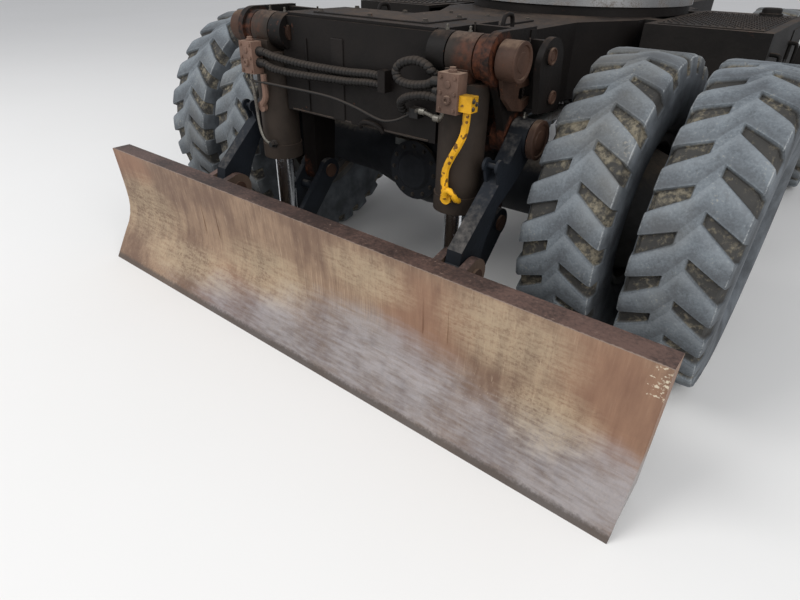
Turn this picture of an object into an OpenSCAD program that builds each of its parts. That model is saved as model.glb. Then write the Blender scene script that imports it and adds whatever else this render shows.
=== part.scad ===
// Undercarriage of a wheeled excavator, with a parallel-linkage dozer blade and twin wheels.
// X runs across the machine, Y from the blade to the steering axle, Z is up, in millimetres.
// The origin is on the ground, midway between the blade's edge and the rear of the steered tyres.

/* [Blade] */
// Width of the blade
blade_w = 2500; // [2300:10:2550]
// Height of the blade
blade_h = 521; // [500:1:560]
// Depth of the blade's top plate
blade_top_w = 83; // [70:1:100]
// Thickness of the blade's skin, measured along Y
blade_skin = 18; // [14:1:22]

/* [Dozer linkage] */
// Horizontal run of each link, from its frame pivot to its blade pivot
link_run = 325; // [300:1:340]
// Height that each link drops over that run
link_drop = 350; // [330:1:370]
// Distance across from the centre line to the middle of a cylinder
cyl_x = 432; // [425:1:440]
// Outer diameter of a cylinder's barrel
barrel_d = 150; // [140:1:152]
// Diameter of a cylinder's chromed rod
rod_d = 76; // [60:1:80]

/* [Wheels] */
// Distance from the fixed axle to the steering axle
wheelbase = 2600; // [2500:10:2700]
// Radius of a tyre, out to the tips of its lugs
tyre_r = 530; // [520:1:540]
// Width of a tyre's tread
tread_w = 256; // [240:2:262]
// Distance from the centre line to the middle of an inner tyre
inner_x = 798; // [796:1:810]
// Distance between the middles of twin tyres
twin_pitch = 341; // [335:1:350]
// Distance from the centre line to a kingpin
kingpin_x = 585; // [580:1:588]

/* [Slewing ring] */
// Radius of the bolt circle for the upper structure
slew_bolt_r = 525; // [515:1:535]
// Number of bolts on that circle
slew_bolts = 24; // [12:2:30]

/* [Hidden] */
$fn = 48;
LEFT = -1;
RIGHT = 1;

// The blade's edge is this far from the origin, and places on the linkage count from the edge
edge_y = -2050;
fixed_y = -1080;
steer_y = fixed_y + wheelbase;
axle_z = tyre_r;
slew_y = 170;
frame_bottom = axle_z + 240;
frame_top = frame_bottom + 310;

// Pivots as [distance behind the blade's edge, height]
pin_top = [440, frame_top - 20];
pivot_upper = [580, frame_bottom + 50];
pivot_lower = [640, frame_bottom - 287];
blade_upper = pivot_upper - [link_run, link_drop];
blade_lower = pivot_lower - [link_run, link_drop];
link_len = norm([link_run, link_drop]);
rod_eye = [pin_top[0], pivot_lower[1] - (pivot_lower[0] - pin_top[0]) * link_drop / link_run];
link_tilt = atan2(-link_drop, -link_run);

// Radii of pins, and the play round them
pin_r = 35;
link_pin_r = 29;
fixed_play = 0.2;
moving_play = 0.4;

// Slices across the machine, as [inner X, outer X]
ear_plate = [515, 541];
ear_boss = [485, 541];
inner_boss = [322, 385];
barrel_eye = [390, 480];
upper_link_x = [547, 599];
flange_x = [606, 626];
lower_plate_a = [364, 388];
lower_plate_b = [476, 500];
lug_x = [394, 470];
blade_ear_a = [512, 540];
blade_ear_b = [606, 634];

// Colours
paint_dark = [0.20, 0.19, 0.18];
paint_link = [0.27, 0.30, 0.33];
rust = [0.52, 0.40, 0.32];
steel = [0.55, 0.54, 0.52];
chrome = [0.80, 0.81, 0.82];
rubber_dark = [0.30, 0.31, 0.31];
hose_black = [0.10, 0.10, 0.10];
yellow = [0.90, 0.69, 0.18];

// Moves a place that counts from the blade's edge into the machine's frame
function from_edge(p) = [p[0] + edge_y, p[1]];

// Places a list of points round one of them
function round_about(p, points) = [for (q = points) p + q];

// Draws a side view, in Y and Z, from one X to another
module across(span) {
    translate([span[0], 0, 0]) rotate([90, 0, 90]) linear_extrude(span[1] - span[0]) children();
}

// The same, with the side view counted from the blade's edge
module across_edge(span) {
    translate([0, edge_y, 0]) across(span) children();
}

module pin_x(span, place, radius) {
    translate([span[0], place[0] + edge_y, place[1]]) rotate([0, 90, 0])
        cylinder(h = span[1] - span[0], r = radius);
}

module disc2(place, radius) {
    translate(place) circle(radius);
}

// Keeps what is drawn on the right, or mirrors it to the left
module on_side(side) {
    if (side == RIGHT) children();
    else mirror([1, 0, 0]) children();
}

module both_sides() {
    children();
    mirror([1, 0, 0]) children();
}

// A tube swept through points, with a ring of eight corners at each. It never runs along aside.
function unit(v) = v / norm(v);
function heading(p, i) = unit(p[min(i + 1, len(p) - 1)] - p[max(i - 1, 0)]);
function ring_at(p, i, radius, aside) =
    let (h = heading(p, i), s = unit(cross(h, aside)), t = cross(h, s))
    [for (k = [0:7]) p[i] + radius * (cos(k * 45) * s + sin(k * 45) * t)];
module tube(points, radius, aside = [0, 0, 1]) {
    n = len(points);
    polyhedron(
        points = [for (i = [0:n - 1]) each ring_at(points, i, radius, aside)],
        faces = concat(
            [[for (k = [0:7]) k]],
            [for (i = [0:n - 2], k = [0:7])
                [i * 8 + k, (i + 1) * 8 + k, (i + 1) * 8 + (k + 1) % 8, i * 8 + (k + 1) % 8]],
            [[for (k = [7:-1:0]) (n - 1) * 8 + k]]
        ),
        convexity = 4
    );
}

// Points of a smooth curve through a few chosen ones, with steps between each pair
function smooth(p, steps = 4) = [
    for (i = [0:len(p) - 2], k = [0:steps - 1])
        let (a = p[max(i - 1, 0)], b = p[i], c = p[i + 1], d = p[min(i + 2, len(p) - 1)], t = k / steps)
        0.5 * (2 * b + (c - a) * t + (2 * a - 5 * b + 4 * c - d) * t * t
            + (3 * b - a - 3 * c + d) * t * t * t),
    p[len(p) - 1]
];

// Main frame

frame_wall = 18;
frame_front = fixed_y - 220;
frame_rear = steer_y + 320;
// Stations of the frame's plan: y, half width
frame_plan = [[frame_front, 348], [slew_y - 810, 348], [slew_y - 500, 500], [slew_y + 500, 500],
    [slew_y + 760, 330], [frame_rear, 330]];

module frame_outline(inset) {
    last = len(frame_plan) - 1;
    half = [for (i = [0:last])
        [frame_plan[i][1] - inset,
            frame_plan[i][0] + (i == 0 ? inset : 0) - (i == last ? inset : 0)]];
    polygon(concat(half, [for (i = [last:-1:0]) [-half[i][0], half[i][1]]]));
}

module main_frame() {
    color(paint_dark) {
        difference() {
            translate([0, 0, frame_bottom]) linear_extrude(frame_top - frame_bottom)
                frame_outline(0);
            translate([0, 0, frame_bottom + frame_wall])
                linear_extrude(frame_top - frame_bottom - 2 * frame_wall) frame_outline(frame_wall);
            // Hand holes in the bottom plate, and the well of the swivel joint
            for (y = [fixed_y + 130, slew_y - 670, slew_y + 730, steer_y - 270])
                translate([0, y, frame_bottom - 1]) cylinder(h = frame_wall + 2, r = 120);
            translate([0, slew_y, frame_bottom - 1])
                cylinder(h = frame_top - frame_bottom + 2, r = 170);
        }
        // Seat of the slewing ring
        translate([0, slew_y, frame_top]) difference() {
            cylinder(h = 40, r = 560);
            translate([0, 0, -1]) cylinder(h = 42, r = 470);
        }
        // Pads that the fixed axle is bolted to
        both_sides() translate([195, fixed_y - 110, axle_z + axle_seat])
            cube([110, 220, frame_bottom - axle_z - axle_seat]);
        // Plates that hold the steering axle's long pin
        for (y = [steer_y - 135, steer_y + 88])
            difference() {
                translate([-110, y, axle_z + 148]) cube([220, 30, frame_bottom - axle_z - 148]);
                translate([0, y - 1, axle_z + long_pin_z]) rotate([-90, 0, 0])
                    cylinder(h = 32, r = 30 + fixed_play);
            }
    }
}

// Dozer frame

dozer_top = frame_top + 45;
dozer_bottom = frame_bottom + 20;
front_plate = [415, 440];
hose_end = 137.3;
cross_plate = [600, 625];

module ear_shape() {
    disc2(pin_top, 72);
    disc2(pivot_upper, 62);
    polygon(round_about(pin_top, [[-55, 45], [0, 72], [200, 72], [200, -270], [78, -260], [72, -224],
        [46, -167], [20, -111], [-12, -65], [-50, -45]]));
}

module flange_shape() {
    disc2(pivot_upper + [15, 218], 75);
    polygon(round_about(pivot_upper, [[-60, 218], [90, 218], [115, 75], [-32, 85]]));
}

module lower_lug_shape() {
    disc2(pivot_lower, 55);
    polygon(round_about(pivot_lower, [[-50, 317], [80, 317], [54, -13], [-54, -8]]));
}

module dozer_frame() {
    color(paint_dark) difference() {
        union() {
            // Box between the cylinders, joined to the main frame
            both_sides() across_edge([322, 348]) polygon([[front_plate[0], dozer_bottom],
                [front_plate[0], dozer_top - 25], [front_plate[1], dozer_top],
                [frame_front - edge_y, dozer_top], [frame_front - edge_y, dozer_bottom]]);
            across_edge([-322, 322]) union() {
                translate([front_plate[0], dozer_bottom])
                    square([front_plate[1] - front_plate[0], dozer_top - dozer_bottom - 10]);
                translate([front_plate[0] + 10, dozer_top - 20]) square([325, 20]);
                translate([front_plate[0], dozer_bottom]) square([200, 20]);
            }
            // Plate across behind the cylinders, with the ears and the outer flanges
            across_edge([-545, 545]) translate([cross_plate[0], dozer_bottom])
                square([cross_plate[1] - cross_plate[0], dozer_top - dozer_bottom]);
            both_sides() {
                across_edge(ear_plate) ear_shape();
                pin_x(ear_boss, pin_top, 62);
                pin_x(ear_boss, pivot_upper, 60);
                pin_x(inner_boss, pin_top, 62);
                across_edge([540, flange_x[1]]) translate([cross_plate[0], pivot_upper[1] + 85])
                    square([25, 195]);
                across_edge(flange_x) flange_shape();
                pin_x([flange_x[1], flange_x[1] + 6], pivot_upper + [-8, 245], 24);
                pin_x([flange_x[1], flange_x[1] + 6], pivot_upper + [35, 125], 20);
                across_edge(lug_x) lower_lug_shape();
            }
        }
        both_sides() {
            pin_x([300, 560], pin_top, pin_r + fixed_play);
            pin_x([470, 560], pivot_upper, link_pin_r + fixed_play);
            pin_x([380, 480], pivot_lower, link_pin_r + fixed_play);
        }
    }
    // Block on the front plate that the left hoses are screwed into
    color(paint_dark) translate([hose_end, front_plate[0] + edge_y - 38, pin_top[1] - 134])
        cube([30, 38, 66]);
}

module frame_pins() {
    color(rust) both_sides() {
        pin_x([310, 552], pin_top, pin_r);
        pin_x([552, 605], pin_top, 55);
        // Keeper that hooks under the pin's head
        across_edge([552, 566]) polygon(round_about(pin_top, [[-32, 0], [-30, -34], [3, -106],
            [55, -146], [121, -158], [156, -142], [158, -118], [118, -128], [84, -112], [86, -85],
            [148, -85], [118, -20]]));
        pin_x([488, 614], pivot_upper, link_pin_r);
        pin_x([614, 628], pivot_upper, 62);
        pin_x([356, 508], pivot_lower, link_pin_r);
    }
}

// Slewing ring and swivel

slew_base_z = frame_top + 40;
slew_base_h = 63.7;
race_gap = 0.3;

module slew_base() {
    color(steel) translate([0, slew_y, slew_base_z]) difference() {
        cylinder(h = slew_base_h, r = slew_bolt_r + 45, $fn = 96);
        translate([0, 0, -1]) cylinder(h = slew_base_h + 2, r = slew_bolt_r - 33, $fn = 96);
    }
}

module slew_race() {
    color(steel) translate([0, slew_y, 0]) difference() {
        union() {
            translate([0, 0, slew_base_z + slew_base_h + race_gap])
                cylinder(h = 66, r = slew_bolt_r + 50, $fn = 96);
            translate([0, 0, slew_base_z + 8])
                cylinder(h = slew_base_h, r = slew_bolt_r - 40, $fn = 96);
        }
        translate([0, 0, slew_base_z]) cylinder(h = 140, r = slew_bolt_r - 60, $fn = 96);
        for (i = [0:slew_bolts - 1])
            rotate([0, 0, i * 360 / slew_bolts]) translate([slew_bolt_r, 0, slew_base_z + 60])
                cylinder(h = 80, r = 11, $fn = 24);
    }
}

module swivel_joint() {
    color(steel) translate([0, slew_y, 0]) {
        translate([0, 0, frame_bottom - 80]) cylinder(h = 490, r = 98);
        translate([0, 0, frame_top]) cylinder(h = 22, r = 200);
        translate([0, 0, frame_top + 95]) cylinder(h = 50, r = 60);
    }
}

// Axles

// Profile of an axle housing from its middle outwards: x, radius
housing = [[0, 195], [70, 190], [150, 165], [260, 138], [330, 124], [520, 120]];
// The steering axle's housing is slimmer, to clear the steering
steer_housing = 0.85;
// Height of the fixed axle's seats, and of the steering axle's long pin, over the axle
axle_seat = 170;
long_pin_z = 190;

module housing_half(end_x, size) {
    last = housing[len(housing) - 1];
    rotate([0, 90, 0]) rotate_extrude()
        polygon(concat([[0, 0]], [for (h = housing) [h[1] * size, h[0]]],
            [[last[1] * size, end_x], [0, end_x]]));
}

module blade_axle() {
    color(paint_dark) translate([0, fixed_y, axle_z]) {
        both_sides() {
            housing_half(640, 1);
            translate([640, 0, 0]) rotate([0, 90, 0]) cylinder(h = 55, r = 150);
            translate([200, -90, 0]) cube([100, 180, axle_seat]);
        }
        rotate([-90, 0, 0]) cylinder(h = 290, r = 110);
        rotate([-90, 0, 0]) cylinder(h = 330, r = 70);
    }
}

kingpin_r = 25;

module steer_axle() {
    color(paint_dark) translate([0, steer_y, axle_z]) difference() {
        union() {
            both_sides() {
                housing_half(520, steer_housing);
                translate([500, 0, 0]) rotate([0, 90, 0]) cylinder(h = kingpin_x - 500, r = 62);
                translate([kingpin_x, 0, -100]) cylinder(h = 200, r = 50);
            }
            rotate([90, 0, 0]) cylinder(h = 290, r = 110);
            rotate([90, 0, 0]) cylinder(h = 330, r = 70);
            // Trunnion for the long pin that the axle rocks on
            translate([-60, -100, 0]) cube([120, 184, long_pin_z + 38]);
            translate([0, 122, long_pin_z]) rotate([90, 0, 0]) cylinder(h = 285, r = 30);
            // Arms that hold the steering cylinder, outside the plates of the long pin
            both_sides() translate([120, 0, 60]) cube([30, 215, 90]);
        }
        both_sides() translate([kingpin_x, 0, -101]) cylinder(h = 202, r = kingpin_r + moving_play);
        translate([-160, 170, 185]) rotate([0, 90, 0]) cylinder(h = 320, r = steer_barrel_r + fixed_play);
    }
}

// Steering, with its cylinder behind the axle
steer_arm = 170;
steer_rod_z = axle_z + 185;
steer_barrel_r = 42;

module steering_cylinder() {
    color(paint_dark) translate([0, steer_y + steer_arm, steer_rod_z]) rotate([0, 90, 0])
        difference() {
            translate([0, 0, -200]) cylinder(h = 400, r = steer_barrel_r);
            translate([0, 0, -160]) cylinder(h = 320, r = 32);
            translate([0, 0, -201]) cylinder(h = 402, r = 20 + moving_play);
        }
}

module steering_rod() {
    color(chrome) translate([0, steer_y + steer_arm, steer_rod_z]) {
        rotate([0, 90, 0]) translate([0, 0, -(kingpin_x - 20)])
            cylinder(h = 2 * (kingpin_x - 20), r = 20);
        rotate([0, 90, 0]) translate([0, 0, -20]) cylinder(h = 40, r = 31);
        both_sides() translate([kingpin_x, 0, -20]) cylinder(h = 40, r = 30);
    }
}

module knuckle() {
    color(paint_link) translate([kingpin_x, steer_y, axle_z]) {
        // Fork round the kingpin's boss
        for (z = [-160, 110]) {
            translate([0, 0, z]) cylinder(h = 50, r = 55);
            translate([0, -55, z]) cube([75, 110, 50]);
        }
        translate([0, 0, -150]) cylinder(h = 300, r = kingpin_r);
        translate([60, -90, -160]) cube([30, 180, 320]);
        translate([60, 0, 0]) rotate([0, 90, 0]) cylinder(h = 50, r = 150);
        // Steering arm
        translate([-28, 0, 110]) cube([56, steer_arm, 50]);
        translate([0, steer_arm, 110]) cylinder(h = 50, r = 32);
    }
}

// Drive train in the frame's middle

module gearbox() {
    color(paint_dark) translate([0, 420, 0]) {
        translate([-150, -150, frame_bottom - 300]) cube([300, 300, 300]);
        translate([0, -190, axle_z]) rotate([-90, 0, 0]) cylinder(h = 380, r = 75);
        translate([75, 150, frame_bottom - 95]) rotate([-90, 0, 0]) cylinder(h = 210, r = 85);
    }
}

module propshaft(y0, y1) {
    translate([0, y0, axle_z]) rotate([-90, 0, 0]) cylinder(h = y1 - y0, r = 38);
    for (y = [y0, y1 - 30])
        translate([0, y, axle_z]) rotate([-90, 0, 0]) cylinder(h = 30, r = 68);
}

module propshafts() {
    color(steel) {
        propshaft(fixed_y + 330, 230);
        propshaft(610, steer_y - 330);
    }
}

// Side boxes

box_x = [560, 1040];
box_y = [slew_y - 610, slew_y + 390];
box_z = frame_bottom - 300;

module side_box(side) {
    color(paint_dark) on_side(side) {
        // Cover, open towards the frame
        difference() {
            across(box_x) polygon([[box_y[0], box_z + 150], [box_y[0] + 120, box_z],
                [box_y[1], box_z], [box_y[1], frame_top], [box_y[0], frame_top]]);
            across([box_x[0] - 1, box_x[1] - 12]) polygon([[box_y[0] + 12, box_z + 155],
                [box_y[0] + 126, box_z + 12], [box_y[1] - 12, box_z + 12],
                [box_y[1] - 12, frame_top - 12], [box_y[0] + 12, frame_top - 12]]);
        }
        // Arms that carry the box on the frame
        for (y = [slew_y - 420, slew_y + 250])
            translate([500, y, frame_top - 60]) cube([62, 80, 60]);
        // Step outside the box
        for (z = [box_z + 50, box_z + 330])
            translate([box_x[1], slew_y - 470, z]) cube([110, 420, 25]);
        for (y = [slew_y - 470, slew_y - 70])
            translate([box_x[1] + 80, y, box_z + 50]) cube([30, 20, 560]);
    }
}

// Blade

// Front of the blade from its edge up: distance behind the edge, height
blade_front = [[0, 0], [71, 118], [98, 160], [113, 195], [122, 235], [125, 270],
    [124, 320], [118, 414], [110, blade_h]];
edge_run = 71;
edge_rise = 118;
edge_t = 20;

function shifted(p, by) = [for (q = p) [q[0] + by, q[1]]];
function back_to_front(p) = [for (i = [len(p) - 1:-1:0]) p[i]];

blade_rear = 110 + blade_top_w;

module blade_rib_shape() {
    polygon(concat([[40, 45]], [for (i = [1:len(blade_front) - 1]) blade_front[i] + [4, 0]],
        [[blade_rear, blade_h], [blade_rear, 62], [80, 45]]));
}

module blade_ear_shape() {
    disc2(blade_upper, 60);
    polygon([[122, 300], [114, 505], [190, 515], blade_upper + [-14, 58], blade_upper + [52, -30],
        [blade_rear, 200], [130, 240]]);
}

module blade_lug_shape() {
    disc2(blade_lower, 50);
    polygon([[110, 180], [blade_rear, 240], blade_lower + [14, 48], blade_lower + [10, -49],
        [120, 62], [90, 90]]);
}

module blade() {
    color(rust) difference() {
        union() {
            across_edge([-blade_w / 2, blade_w / 2]) union() {
                polygon(concat(blade_front, back_to_front(shifted(blade_front, blade_skin))));
                translate([112, blade_h - 16]) square([blade_rear - 112, 16]);
                translate([blade_rear - 12, 62]) square([12, 110]);
                translate([56, 62]) square([blade_rear - 60, 12]);
            }
            both_sides() {
                across_edge([blade_w / 2 - 14, blade_w / 2]) blade_rib_shape();
                for (x = [150, 700, 960])
                    across_edge([x, x + 12]) blade_rib_shape();
                across_edge([0, 500]) translate([blade_rear - 12, blade_h - 70]) square([12, 70]);
                across_edge([646, blade_w / 2]) translate([blade_rear - 12, blade_h - 70])
                    square([12, 70]);
                across_edge(blade_ear_a) blade_ear_shape();
                across_edge(blade_ear_b) blade_ear_shape();
                across_edge(lug_x) blade_lug_shape();
            }
        }
        both_sides() {
            pin_x([500, 650], blade_upper, link_pin_r + fixed_play);
            pin_x([380, 480], blade_lower, link_pin_r + fixed_play);
        }
        // Seat of the cutting edge
        across_edge([-blade_w / 2 - 1, blade_w / 2 + 1]) edge_shape(2);
    }
}

module edge_shape(front) {
    polygon([[-front, 0], [edge_run - front, edge_rise], [edge_run + edge_t, edge_rise], [edge_t, 0]]);
}

module cutting_edge() {
    color(steel) across_edge([-blade_w / 2, blade_w / 2])
        edge_shape(0);
}

module blade_pins() {
    color(rust) both_sides() {
        pin_x([506, 642], blade_upper, link_pin_r);
        pin_x([356, 508], blade_lower, link_pin_r);
    }
}

// Links

// Draws in a link's own frame, with its first axis from the frame's pivot to the blade's
module along_link(start) {
    translate(start) rotate(link_tilt) mirror([0, 1]) children();
}

// Outline of an upper link: distance along it, height above it
upper_outline = [[0, 56], [190, 56], [link_len - 38, 80], [link_len, 56], [link_len, -56],
    [link_len - 58, -50], [340, -22], [246, -4], [120, -40], [0, -56]];

module upper_link(side) {
    color(paint_link) on_side(side) difference() {
        union() {
            across_edge(upper_link_x) along_link(pivot_upper) union() {
                polygon(upper_outline);
                circle(60);
                disc2([link_len, 0], 58);
            }
            pin_x([upper_link_x[0], 610], pivot_upper, 60);
            // Small fork on the link's top, with its cross pin
            for (x = [upper_link_x[0], upper_link_x[1] - 9])
                across_edge([x, x + 9]) along_link(pivot_upper) union() {
                    disc2([157, 96], 22);
                    polygon([[120, 50], [137, 92], [177, 92], [200, 50]]);
                }
            across_edge(upper_link_x) along_link(pivot_upper) disc2([157, 96], 8);
        }
        pin_x([540, 620], pivot_upper, link_pin_r + moving_play);
        pin_x([540, 620], blade_upper, link_pin_r + moving_play);
    }
}

module lower_plate() {
    along_link(pivot_lower) union() {
        polygon([[0, 46], [link_len, 46], [link_len, -46], [0, -46]]);
        circle(52);
        disc2([link_len, 0], 50);
    }
}

module lower_link() {
    color(paint_link) difference() {
        union() {
            both_sides() {
                across_edge(lower_plate_a) lower_plate();
                across_edge(lower_plate_b) lower_plate();
                // Ends of the pin that the rod's eye hangs on
                pin_x([lower_plate_a[0] - 8, lower_plate_a[0]], rod_eye, 32);
                pin_x([lower_plate_b[1], lower_plate_b[1] + 8], rod_eye, 32);
            }
            // Spacer between an arm's two plates
            both_sides() across_edge([lower_plate_a[1] - 1, lower_plate_b[0] + 1])
                along_link(pivot_lower) disc2([95, 0], 18);
        }
        both_sides() {
            pin_x([360, 510], pivot_lower, link_pin_r + moving_play);
            pin_x([360, 510], blade_lower, link_pin_r + moving_play);
        }
    }
}

// Cylinders

barrel_top = pin_top[1] - 70;
gland_bottom = pin_top[1] - 470;
gland_top = gland_bottom + 50;
rod_top = gland_bottom + 140;

module upright(z0, z1, radius) {
    translate([cyl_x, pin_top[0] + edge_y, z0]) cylinder(h = z1 - z0, r = radius);
}

module barrel(side) {
    color(paint_dark) on_side(side) difference() {
        union() {
            pin_x(barrel_eye, pin_top, 62);
            translate([cyl_x - 38, pin_top[0] + edge_y - 62, barrel_top - 10]) cube([76, 124, 50]);
            upright(gland_bottom, barrel_top, barrel_d / 2);
            upright(gland_bottom, gland_top + 5, barrel_d / 2 + 4);
        }
        pin_x([300, 560], pin_top, pin_r + moving_play);
        upright(gland_top, barrel_top - 20, 55);
        upright(gland_bottom - 1, gland_top + 1, rod_d / 2 + moving_play);
    }
}

// A rod is alike on both sides of its own middle, so the left one is only moved across
module rod(side) {
    color(chrome) translate([side == LEFT ? -2 * cyl_x : 0, 0, 0]) {
        upright(rod_eye[1], rod_top, rod_d / 2);
        upright(rod_top - 40, rod_top, 54);
        pin_x(lug_x, rod_eye, 50);
    }
}

// What is fixed to a barrel counts from its top pin: across from the centre line, behind, above
module from_pin(side) {
    on_side(side) translate([0, pin_top[0] + edge_y, pin_top[1]]) children();
}

valve_low = -142;

module valve(side) {
    color(rust) from_pin(side) translate([412, -122, valve_low]) cube([70, 46.8, 110]);
}

hose_r = 12;
right_tube = [[499, -90, -125], [499, -90, -155], [494, -90, -198], [480, -90, -232],
    [462, -90, -265], [445, -90, -300], [438, -90, -325], [437, -90, -360], [443, -90, -400]];
left_tube = [[400, -90, valve_low - 0.3], [399, -90, -180], [398, -90, -205], [403, -89, -230],
    [424, -89, -256]];

module feed_tube(side) {
    tube_end = side == RIGHT ? [445, -93, -410] : [432, -89, -265];
    port_h = side == RIGHT ? 14 : 13.7;
    color(side == RIGHT ? yellow : rust) from_pin(side) {
        tube(smooth(side == RIGHT ? right_tube : left_tube, 3), hose_r, [1, 0, 0]);
        translate(tube_end) rotate([-90, 0, 0]) cylinder(h = port_h, r = 20);
        // Flange that is bolted to the side of the valve block
        if (side == RIGHT) translate([482.3, -112, -132]) cube([42, 36, 44]);
    }
}

// Hoses from the valve blocks: the left pair to the block on the front plate, the right upper one
// round to its own cylinder, and the right lower one down to the plate
hose_routes = [
    [LEFT, [[411.7, -90, -66], [396, -90, -66], [380, -90, -66], [330, -88, -75], [210, -70, -88],
        [90, -52, -93], [0, -45, -93], [-80, -45, -88], [-125, -45, -88], [-hose_end + 0.3, -45, -88]]],
    [LEFT, [[411.7, -92, -104], [396, -92, -104], [380, -92, -104], [330, -92, -116],
        [210, -78, -123], [90, -55, -124], [0, -46, -122], [-80, -45, -115], [-125, -45, -115],
        [-hose_end + 0.3, -45, -115]]],
    [RIGHT, [[411.7, -97, -64], [398, -97, -64], [384, -97, -64], [357, -98, -77], [301, -95, -86],
        [252, -90, -82], [231, -86, -57], [250, -82, -32], [299, -78, -20], [340, -78, -29],
        [358, -74, -45], [367, -60, -55], [379, -50, -57], [387, -50, -57], [393.5, -50, -57]]],
    [RIGHT, [[411.7, -95, -109], [396, -95, -109], [380, -95, -109], [340, -95, -110],
        [283, -88, -124], [245, -76, -146], [237, -60, -168], [237, -47, -183]]]
];

module hoses(side) {
    color(hose_black) from_pin(side)
        for (h = hose_routes)
            if (h[0] == side) tube(smooth(h[1], 3), hose_r);
}

// Wheels

// Half section of a tyre: radius, distance from its middle
tyre_half = [[262.3, 62], [262.3, 90], [268, 94.7], [283, 94.7], [300, 114], [345, 132], [400, 137],
    [460, 134], [505, 129], [tyre_r - 6, tread_w / 2], [tyre_r - 1, tread_w / 2 - 8]];
tyre_inside = [[500, 90], [470, 112], [400, 117], [340, 110], [290, 84], [283, 62]];

// Grooves of the tread, cut from each shoulder in towards the middle rib
tread_pitches = 26;
groove_depth = 14;
// side, distance of the inner end from the tyre's middle, first and last angle at the shoulder,
// first and last angle at the inner end
groove_rows = [[-1, 28, 21, 27.9, 28, 32.2], [1, 16, 27, 33.3, 35.7, 39.4]];

// Outline of a groove seen from outside, with its shoulder's middle at angle 0
module groove_shape(row) {
    function along(angle) = tyre_r * sin((row[2] + row[3]) / 2 - angle);
    shoulder = row[0] * (tread_w / 2 + 12);
    inner_end = row[0] * row[1];
    polygon([[along(row[2]), shoulder], [along(row[3]), shoulder], [along(row[5]), inner_end],
        [along(row[4]), inner_end]]);
}

module tyre() {
    difference() {
        rotate([0, 90, 0]) rotate_extrude($fn = 72) polygon(concat(
            tyre_half, [[tyre_r, 40], [tyre_r, -40]],
            [for (p = back_to_front(tyre_half)) [p[0], -p[1]]],
            [for (p = back_to_front(tyre_inside)) [p[0], -p[1]]],
            tyre_inside
        ));
        for (row = groove_rows, i = [0:tread_pitches - 1])
            rotate([180 - (row[2] + row[3]) / 2 - i * 360 / tread_pitches, 0, 0])
                translate([0, tyre_r - groove_depth, 0]) rotate([-90, -90, 0])
                    linear_extrude(40) groove_shape(row);
    }
}

module tyres(side, y) {
    color(rubber_dark)
        for (x = [inner_x, inner_x + twin_pitch])
            translate([side * x, y, axle_z]) tyre();
}

// Section of a rim: radius, distance from its middle towards the machine
rim_section = [[281, 103], [281, 96], [262, 95], [262, 62], [234, 46], [234, -46], [262, -62],
    [262, -95], [281, -96], [281, -103], [270, -103], [252, -98], [252, -66], [224, -50],
    [224, 50], [252, 66], [252, 98], [270, 103]];
mate_x = inner_x + twin_pitch / 2;
disc_t = 14;

// Dish from the rim in to the face that the twin wheels share: radius, distance from that face
dish_section = [[140, 0], [190, 0], [228, 112], [228, 124], [216, 124], [181, disc_t], [140, disc_t]];

stud_circle = 160;

module rims(side, y) {
    color(steel) on_side(side) {
        for (x = [inner_x, inner_x + twin_pitch])
            translate([x, y, axle_z]) rotate([0, 90, 0]) rotate_extrude($fn = 64)
                polygon(rim_section);
        translate([mate_x, y, axle_z]) rotate([0, 90, 0]) rotate_extrude($fn = 64) union() {
            polygon(dish_section);
            mirror([0, 1]) polygon(dish_section);
        }
        // Wheel nuts
        for (i = [0:9])
            translate([mate_x + disc_t, y, axle_z]) rotate([i * 36, 0, 0])
                translate([0, 0, stud_circle]) rotate([0, 90, 0]) cylinder(h = 22, r = 15);
    }
}

// Hub from the axle's end out to its cap: radius, distance from the centre line
hub_section = [[0, 695.3], [150, 695.3], [165, 730], [165, 800], [150, 850], [150, mate_x - 45],
    [178, mate_x - 45], [178, mate_x - disc_t], [138, mate_x - disc_t], [138, 1085],
    [120, 1112], [60, 1118], [60, 1130], [0, 1130]];

module hub(side, y) {
    color(paint_dark) on_side(side)
        translate([0, y, axle_z]) rotate([0, 90, 0]) rotate_extrude() polygon(hub_section);
}

main_frame();
dozer_frame();
frame_pins();
slew_base();
slew_race();
swivel_joint();
blade_axle();
steer_axle();
gearbox();
propshafts();
side_box(LEFT);  // side_box_left
side_box(RIGHT);  // side_box_right
blade();
cutting_edge();
blade_pins();
lower_link();
upper_link(LEFT);  // upper_link_left
upper_link(RIGHT);  // upper_link_right
barrel(LEFT);  // barrel_left
barrel(RIGHT);  // barrel_right
rod(LEFT);  // rod_left
rod(RIGHT);  // rod_right
valve(LEFT);  // valve_left
valve(RIGHT);  // valve_right
feed_tube(LEFT);  // feed_tube_left
feed_tube(RIGHT);  // feed_tube_right
hoses(LEFT);  // hoses_left
hoses(RIGHT);  // hoses_right
on_side(LEFT) knuckle();  // knuckle_left
on_side(RIGHT) knuckle();  // knuckle_right
steering_cylinder();
steering_rod();
tyres(LEFT, fixed_y);  // tyres_blade_left
rims(LEFT, fixed_y);  // rims_blade_left
hub(LEFT, fixed_y);  // hub_blade_left
tyres(RIGHT, fixed_y);  // tyres_blade_right
rims(RIGHT, fixed_y);  // rims_blade_right
hub(RIGHT, fixed_y);  // hub_blade_right
tyres(LEFT, steer_y);  // tyres_steer_left
rims(LEFT, steer_y);  // rims_steer_left
hub(LEFT, steer_y);  // hub_steer_left
tyres(RIGHT, steer_y);  // tyres_steer_right
rims(RIGHT, steer_y);  // rims_steer_right
hub(RIGHT, steer_y);  // hub_steer_right
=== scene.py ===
# %% [markdown]
# Dressing the undercarriage of a wheeled excavator. The solids come packed, in metres, with X across
# the machine, Y from the blade to the steering axle and Z up. They keep their shapes. This script adds
# the tread of the tyres, the hoses and lines, the bolts and welds, the trim of the boxes, the frame and
# the axles, and a finish for every surface.

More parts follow.
